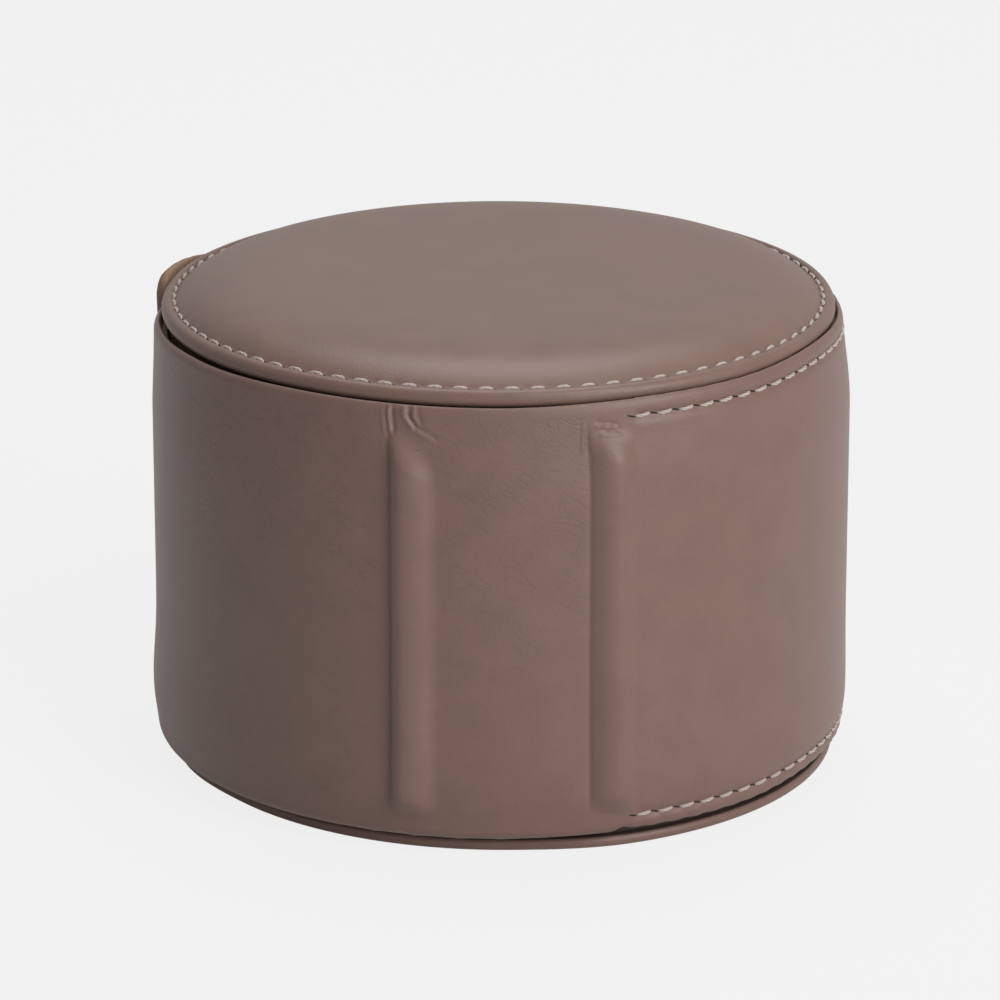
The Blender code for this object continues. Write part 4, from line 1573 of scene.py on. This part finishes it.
class WATCHROLL_OT_stiffeners(bpy.types.Operator):
    """Cut the bending stiffeners of the flap, with holes for its magnets"""

    bl_idname = "watch_roll.stiffeners"
    bl_label = "Flap stiffeners"

    def execute(self, context):
        nodes = [f"{body}_stiffener" for body in PART_BODIES]
        first = FLAP_START + math.degrees(CLEARANCE / 2 / DRUM_RADIUS)
        last = FLAP_END - math.degrees((STIFFENER_LOW - LINING_LOW) / DRUM_RADIUS)
        for index, node in enumerate(nodes):
            start = first if index == 0 else PART_EDGES[index]
            end = last if index == len(nodes) - 1 else PART_EDGES[index + 1]
            angles = even_steps(start, end, 2.0)
            made = layer_part(
                f"stiffener_{PARTS[index]}",
                angles,
                STIFFENER_IN,
                STIFFENER_OUT,
                lambda angle: (STIFFENER_LOW, STIFFENER_HIGH),
                0.00012,
            )
            if index == len(nodes) - 1:
                for level in ("lower", "upper"):
                    self.cut_hole(made, f"flap_magnet_{level}")
            dress(made, "board_pressed", "board", angle=30.0)
            blend_part(made, index)
            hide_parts(node)
        return {"FINISHED"}

    def cut_hole(self, sheet, magnet):
        low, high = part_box(magnet)
        centre = (low + high) / 2
        deselect_all()
        bpy.ops.mesh.primitive_cylinder_add(
            vertices=40,
            radius=(high.z - low.z) / 2 + CLEARANCE,
            depth=0.006,
            location=centre,
            rotation=(math.pi / 2, 0.0, math.atan2(centre.x, -centre.y)),
        )
        cutter = bpy.context.active_object
        cut = sheet.modifiers.new("magnet_hole", "BOOLEAN")
        cut.operation = "DIFFERENCE"
        cut.solver = "EXACT"
        cut.object = cutter
        choose(sheet)
        bpy.ops.object.modifier_apply(modifier=cut.name)
        bpy.data.objects.remove(cutter)


class WATCHROLL_OT_top(bpy.types.Operator):
    """Stretch the padded top cover over its pad, with a bead at its rim"""

    bl_idname = "watch_roll.top"
    bl_label = "Top cover"

    def execute(self, context):
        made = spun("leather_top", top_profile(), DISC_STITCHES * 6)
        pinch_seam(made, 0.00018, 1)
        disc_attributes(made, 1, TOP_LOW - 0.001, TOP_LOW + 0.001)
        seat_top(made)
        dress(made, "leather_taupe", "leather", angle=50.0)
        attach(made, "drum")
        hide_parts("top_cover", "top_pad")
        return {"FINISHED"}


class WATCHROLL_OT_base(bpy.types.Operator):
    """Stretch the leather over the base board, with a bead at its rim"""

    bl_idname = "watch_roll.base"
    bl_label = "Base cover"

    def execute(self, context):
        made = spun("leather_base", base_profile(), DISC_STITCHES * 6)
        disc_attributes(made, -1, 1.75 * BASE_BEAD, BASE_HIGH + 0.001)
        seat_base(made)
        dress(made, "leather_taupe", "leather", angle=50.0)
        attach(made, "drum")
        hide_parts("base_cover")
        return {"FINISHED"}


class WATCHROLL_OT_stitches(bpy.types.Operator):
    """Sew the discs and the flap with twisted thread"""

    bl_idname = "watch_roll.stitches"
    bl_label = "Stitches"

    def execute(self, context):
        stitch = model_stitch()
        top = TOP_SEAM_HEIGHT - THREAD_SINK
        for name, height, shift, side in (
            ("thread_top", top, LEAN, 1.0),
            ("thread_base", BASE_THREAD_HIGH / 2 + 0.00003, BASE_SHIFT, -1.0),
        ):
            made = stitch_row(name, stitch, disc_places(height, shift, side))
            if name == "thread_base":
                self.keep_above_ground(made)
            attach(made, "drum")
            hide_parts(name.replace("thread_", "") + "_thread")
        self.sew_flap(stitch)
        bpy.data.objects.remove(stitch)
        return {"FINISHED"}

    def keep_above_ground(self, row):
        """Presses the thread under the base flat, so that the roll rests on its leather."""
        points = points_of(row.data)
        points[:, 2] = np.maximum(points[:, 2], GROUND_GAP)
        set_points(row.data, points)

    def sew_flap(self, stitch):
        seam = FlapSeam()
        rows = {}
        for angle, along, point, way, out in flap_places(seam):
            index = int(np.searchsorted(PART_EDGES[1:-1], angle))
            if abs(along - seam.length / 2) < seam.rise / 2 + seam.bend / 2:
                row = "edge"
            else:
                row = "upper" if along > seam.length / 2 else "lower"
            rows.setdefault((index, row), []).append((point, way, out))
        for (index, row), places in rows.items():
            made = stitch_row(f"thread_{row}_{PARTS[index]}", stitch, places)
            blend_part(made, index)
            node = f"{PART_BODIES[index]}_thread_{row}"
            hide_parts(node)


class WATCHROLL_OT_tongue(bpy.types.Operator):
    """Make the tongue that the flap's end closes over: a leather face and a lined back"""

    bl_idname = "watch_roll.tongue"
    bl_label = "Tongue"

    def execute(self, context):
        low, high = lowest("tongue_leather").z, highest("tongue_leather").z
        face_out = LINING_IN - CLEARANCE
        back_in = face_out - TONGUE_FACE - TONGUE_BOARD - TONGUE_BACK - 2 * CLEARANCE
        layers = (
            ("tongue_face", "tongue_leather", face_out - TONGUE_FACE, face_out, -0.00085),
            ("tongue_back", "tongue_lining", back_in, back_in + TONGUE_BACK, 0.00075),
        )
        for name, node, inside, outside, pull in layers:
            made = self.layer(name, low, high, inside, outside, pull)
            finish = ("leather_taupe", "leather") if pull < 0 else ("lining_nap", "lining")
            dress(made, *finish)
            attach(made, "drum")
            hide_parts(node)
        return {"FINISHED"}

    def layer(self, name, low, high, inside, outside, pull):
        """One ply of the tongue, drawn towards the other ply along its border."""
        free = math.degrees(TONGUE_CORNER / DRUM_RADIUS)
        near = TONGUE_END + free * (1 - np.sin(np.linspace(math.pi / 2, 0, 16)))
        angles = np.concatenate([near[:-1], even_steps(near[-1], TONGUE_ROOT, 0.8)])
        rings, places = [], []
        middle = (low + high) / 2
        for angle in angles:
            distance = math.radians(angle - TONGUE_END) * DRUM_RADIUS
            half = (high - low) / 2 - corner_cut(distance, TONGUE_CORNER)
            radii, heights = layer_section(inside, outside, middle - half, middle + half, 0.0003)
            border = np.minimum(half - np.abs(heights - middle), distance)
            radii = radii + pull * (1 - smooth((border - 0.0006) / 0.0016))
            rings.append(on_drum(radii, angle, heights))
            turn = np.full(len(heights), distance + 0.5)
            places.append(np.stack([turn, heights, np.zeros(len(heights))], -1))
        made = swept(name, rings)
        write_attribute(made.data, "leather_place", "FLOAT_VECTOR", np.concatenate(places))
        outward(made)
        return made


class WATCHROLL_OT_cushion(bpy.types.Operator):
    """Fill the watch cushion: a suede cylinder that swells between two piped ends"""

    bl_idname = "watch_roll.cushion"
    bl_label = "Watch cushion"

    def execute(self, context):
        look = settings("cushion")
        pillow = self.pillow(look)
        dress(pillow, "cushion_suede", "suede", angle=180.0)
        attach(pillow, "cushion")
        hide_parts("cushion_cover", "cushion_core")
        ends = (
            ("cushion_piping_lower", "cushion_cap_lower", CUSHION_LOW + PIPING_INSET),
            ("cushion_piping_upper", "cushion_cap_upper", CUSHION_HIGH - PIPING_INSET),
        )
        for name, node, height in ends:
            made = self.piping(name, height)
            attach(made, "cushion")
            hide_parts(node)
        return {"FINISHED"}

    def pillow(self, look):
        start_radius = CUSHION_RADIUS - look.give - 0.0006
        low, high = CUSHION_LOW + look.give + 0.0002, CUSHION_HIGH - look.give - 0.0002
        deselect_all()
        bpy.ops.mesh.primitive_cylinder_add(
            vertices=72,
            radius=start_radius,
            depth=high - low,
            location=(0.0, 0.0, (low + high) / 2),
        )
        made = bpy.context.active_object
        made.name = made.data.name = "cushion_pillow"
        bpy.ops.object.transform_apply(location=True, rotation=True, scale=True)
        bevel = made.modifiers.new("edge", "BEVEL")
        bevel.width = 0.002
        bevel.segments = 3
        bevel.angle_limit = math.radians(60)
        bpy.ops.object.modifier_apply(modifier=bevel.name)
        made.data.remesh_voxel_size = 0.0024
        bpy.ops.object.voxel_remesh()
        before = points_of(made.data)
        self.simulate(made, look.pressure)
        after = points_of(made.data)
        moved = after - before
        length = np.linalg.norm(moved, axis=1, keepdims=True)
        moved = moved * np.minimum(1, look.give / np.maximum(length, 1e-9))
        points = before + moved
        radii = np.hypot(points[:, 0], points[:, 1])
        points[:, :2] *= (CUSHION_RADIUS - CUSHION_MARGIN) / radii.max()
        middle = (CUSHION_LOW + CUSHION_HIGH) / 2
        tall = CUSHION_HIGH - CUSHION_LOW - 2 * CUSHION_MARGIN
        points[:, 2] = middle + (points[:, 2] - middle) * tall / np.ptp(points[:, 2])
        seam_low = hump(points[:, 2] - CUSHION_LOW - PIPING_INSET, 0.0011)
        seam_high = hump(points[:, 2] - CUSHION_HIGH + PIPING_INSET, 0.0011)
        radii = np.hypot(points[:, 0], points[:, 1])
        side = smooth((radii - 0.024) / 0.003)
        points[:, :2] *= 1 - (0.0006 * (seam_low + seam_high) * side / radii.clip(1e-6))[:, None]
        angle = np.arctan2(points[:, 1], points[:, 0])
        join = hump((angle - 1.2) * CUSHION_RADIUS, 0.0007)
        points[:, :2] *= 1 - (0.0005 * join * side / radii.clip(1e-6))[:, None]
        set_points(made.data, points)
        finer = made.modifiers.new("finer", "SUBSURF")
        finer.levels = finer.render_levels = 1
        choose(made)
        bpy.ops.object.modifier_apply(modifier=finer.name)
        return made

    def simulate(self, thing, pressure):
        """Blows the closed suede up with the filling's pressure."""
        cloth = thing.modifiers.new("fill", "CLOTH")
        cloth.settings.use_pressure = True
        cloth.settings.uniform_pressure_force = pressure
        cloth.settings.effector_weights.gravity = 0.0
        cloth.settings.quality = 6
        cloth.settings.mass = 0.2
        cloth.point_cache.frame_start = 1
        cloth.point_cache.frame_end = FILL_FRAMES
        scene = bpy.context.scene
        for number in range(1, FILL_FRAMES + 1):
            scene.frame_set(number)
            bpy.context.view_layer.update()
        choose(thing)
        bpy.ops.object.modifier_apply(modifier=cloth.name)
        scene.frame_set(1)

    def piping(self, name, height):
        """A welt of suede round one end of the cushion."""
        deselect_all()
        bpy.ops.mesh.primitive_torus_add(
            major_segments=120,
            minor_segments=12,
            major_radius=CUSHION_RADIUS - 0.0012,
            minor_radius=PIPING_THICKNESS / 2,
            location=(0.0, 0.0, height),
        )
        made = bpy.context.active_object
        made.name = made.data.name = name
        bpy.ops.object.transform_apply(location=True, rotation=True, scale=True)
        points = points_of(made.data)
        angle = np.arctan2(points[:, 1], points[:, 0])
        points[:, 2] += 0.00006 * np.sin(angle * 7) + 0.00003 * np.sin(angle * 23)
        set_points(made.data, points)
        return dress(made, "cushion_suede", "suede", angle=180.0)


class WATCHROLL_OT_carried(bpy.types.Operator):
    """Give the boards, stays and magnets that are kept their finishes"""

    bl_idname = "watch_roll.carried"
    bl_label = "Boards, stays and magnets"

    def execute(self, context):
        finishes = {
            "board_pressed": ("base_board", "top_board", "side_stiffener", "tongue_stiffener"),
            "stay_plastic": ("spine_stay_left", "spine_stay_right"),
            "magnet_nickel": (
                "tongue_magnet_lower",
                "tongue_magnet_upper",
                "flap_magnet_lower",
                "flap_magnet_upper",
            ),
        }
        for finish, nodes in finishes.items():
            for node in nodes:
                kept = frame["nodes"][node]
                kept.data.materials.clear()
                kept.data.materials.append(finish_named(finish))
        return {"FINISHED"}


def turn_towards(place, target):
    """Turn of a lamp or a camera at this place that looks at the target."""
    return (Vector(target) - Vector(place)).to_track_quat("-Z", "Y").to_euler()


class WATCHROLL_OT_stage(bpy.types.Operator):
    """Set the pale floor, the soft lamps and the camera"""

    bl_idname = "watch_roll.stage"
    bl_label = "Stage"

    def execute(self, context):
        look = settings("stage")
        self.floor(look)
        for name, place, size in LAMPS:
            self.lamp(f"{name}_lamp", place, size, getattr(look, f"{name}_power"))
        self.world(look)
        self.camera(look)
        context.scene.view_settings.view_transform = "Standard"
        return {"FINISHED"}

    def floor(self, look):
        deselect_all()
        bpy.ops.mesh.primitive_plane_add(size=12.0, location=(0.0, 0.0, -0.0001))
        made = bpy.context.active_object
        made.name = "floor"
        finish, tree, surface = new_material("floor_pale")
        surface.inputs["Base Color"].default_value = (*look.backdrop, 1.0)
        surface.inputs["Roughness"].default_value = 0.9
        surface.inputs["Specular IOR Level"].default_value = 0.1
        seen = self.seen_rays(tree, FLOOR_MIRRORED)
        shown = {"Color": (*look.backdrop, 1.0), "Strength": FLOOR_GLOW}
        glow = add_node(tree, "Emission", shown)
        share = maths(tree, "MULTIPLY", seen, FLOOR_GLOW_SHARE)
        both = {0: share, 1: surface.outputs[0], 2: glow}
        mix = add_node(tree, "MixShader", both)
        tree.links.new(mix, tree.nodes["Material Output"].inputs["Surface"])
        made.data.materials.append(finish)

    def seen_rays(self, tree, share):
        """1 for what the camera sees directly, and less for what it sees by reflection."""
        camera = add_node(tree, "LightPath", {}, "Is Camera Ray")
        rays = camera.node.outputs
        mirrored = maths(tree, "MAXIMUM", rays["Is Glossy Ray"], rays["Is Transmission Ray"])
        mirrored = maths(tree, "MULTIPLY", mirrored, share)
        return maths(tree, "MAXIMUM", rays["Is Camera Ray"], mirrored)

    def lamp(self, name, place, size, power):
        turn = turn_towards(place, LAMP_TARGET)
        bpy.ops.object.light_add(type="AREA", location=place, rotation=turn)
        made = bpy.context.active_object
        made.name = name
        made.data.size = size
        made.data.energy = power

    def world(self, look):
        world = bpy.data.worlds.new("studio")
        world.use_nodes = True
        tree = world.node_tree
        ground = tree.nodes["Background"]
        ground.inputs["Color"].default_value = (0.92, 0.96, 1.0, 1.0)
        ground.inputs["Strength"].default_value = look.ambient
        pale = {"Color": (*look.backdrop, 1.0), "Strength": 1.0}
        seen = self.seen_rays(tree, BACKDROP_MIRRORED)
        both = {0: seen, 1: ground.outputs[0], 2: add_node(tree, "Background", pale)}
        mix = add_node(tree, "MixShader", both)
        tree.links.new(mix, tree.nodes["World Output"].inputs["Surface"])
        bpy.context.scene.world = world

    def camera(self, look):
        turn = turn_towards(CAMERA_PLACE, CAMERA_TARGET)
        bpy.ops.object.camera_add(location=CAMERA_PLACE, rotation=turn)
        made = bpy.context.active_object
        made.name = "camera"
        made.data.lens = look.lens
        made.data.sensor_width = 36.0
        made.data.clip_start = 0.01
        made.data.clip_end = 50.0
        bpy.context.scene.camera = made


OPERATORS = (
    WATCHROLL_OT_side,
    WATCHROLL_OT_top,
    WATCHROLL_OT_base,
    WATCHROLL_OT_stitches,
    WATCHROLL_OT_linings,
    WATCHROLL_OT_stiffeners,
    WATCHROLL_OT_tongue,
    WATCHROLL_OT_cushion,
    WATCHROLL_OT_carried,
    WATCHROLL_OT_stage,
)


class WATCHROLL_PT_panel(bpy.types.Panel):
    """Lists the steps and settings of the watch roll"""

    bl_label = "Watch roll"
    bl_idname = "WATCHROLL_PT_panel"
    bl_space_type = "VIEW_3D"
    bl_region_type = "UI"
    bl_category = "Watch roll"

    def draw(self, context):
        for operator in OPERATORS:
            self.layout.operator(operator.bl_idname)
        for name, group in SETTINGS.items():
            box = self.layout.box()
            box.label(text=name.capitalize())
            for field in group.__annotations__:
                box.prop(settings(name), field)


CLASSES = (*SETTINGS.values(), *OPERATORS, WATCHROLL_PT_panel)


def register():
    for kind in CLASSES:
        bpy.utils.register_class(kind)
    for name, group in SETTINGS.items():
        setattr(bpy.types.Scene, f"watch_roll_{name}", PointerProperty(type=group))


def unregister():
    for name in SETTINGS:
        delattr(bpy.types.Scene, f"watch_roll_{name}")
    for kind in reversed(CLASSES):
        bpy.utils.unregister_class(kind)


def main():
    register()
    for operator in OPERATORS:
        group, name = operator.bl_idname.split(".")
        getattr(getattr(bpy.ops, group), name)()


if __name__ == "__main__":
    main()
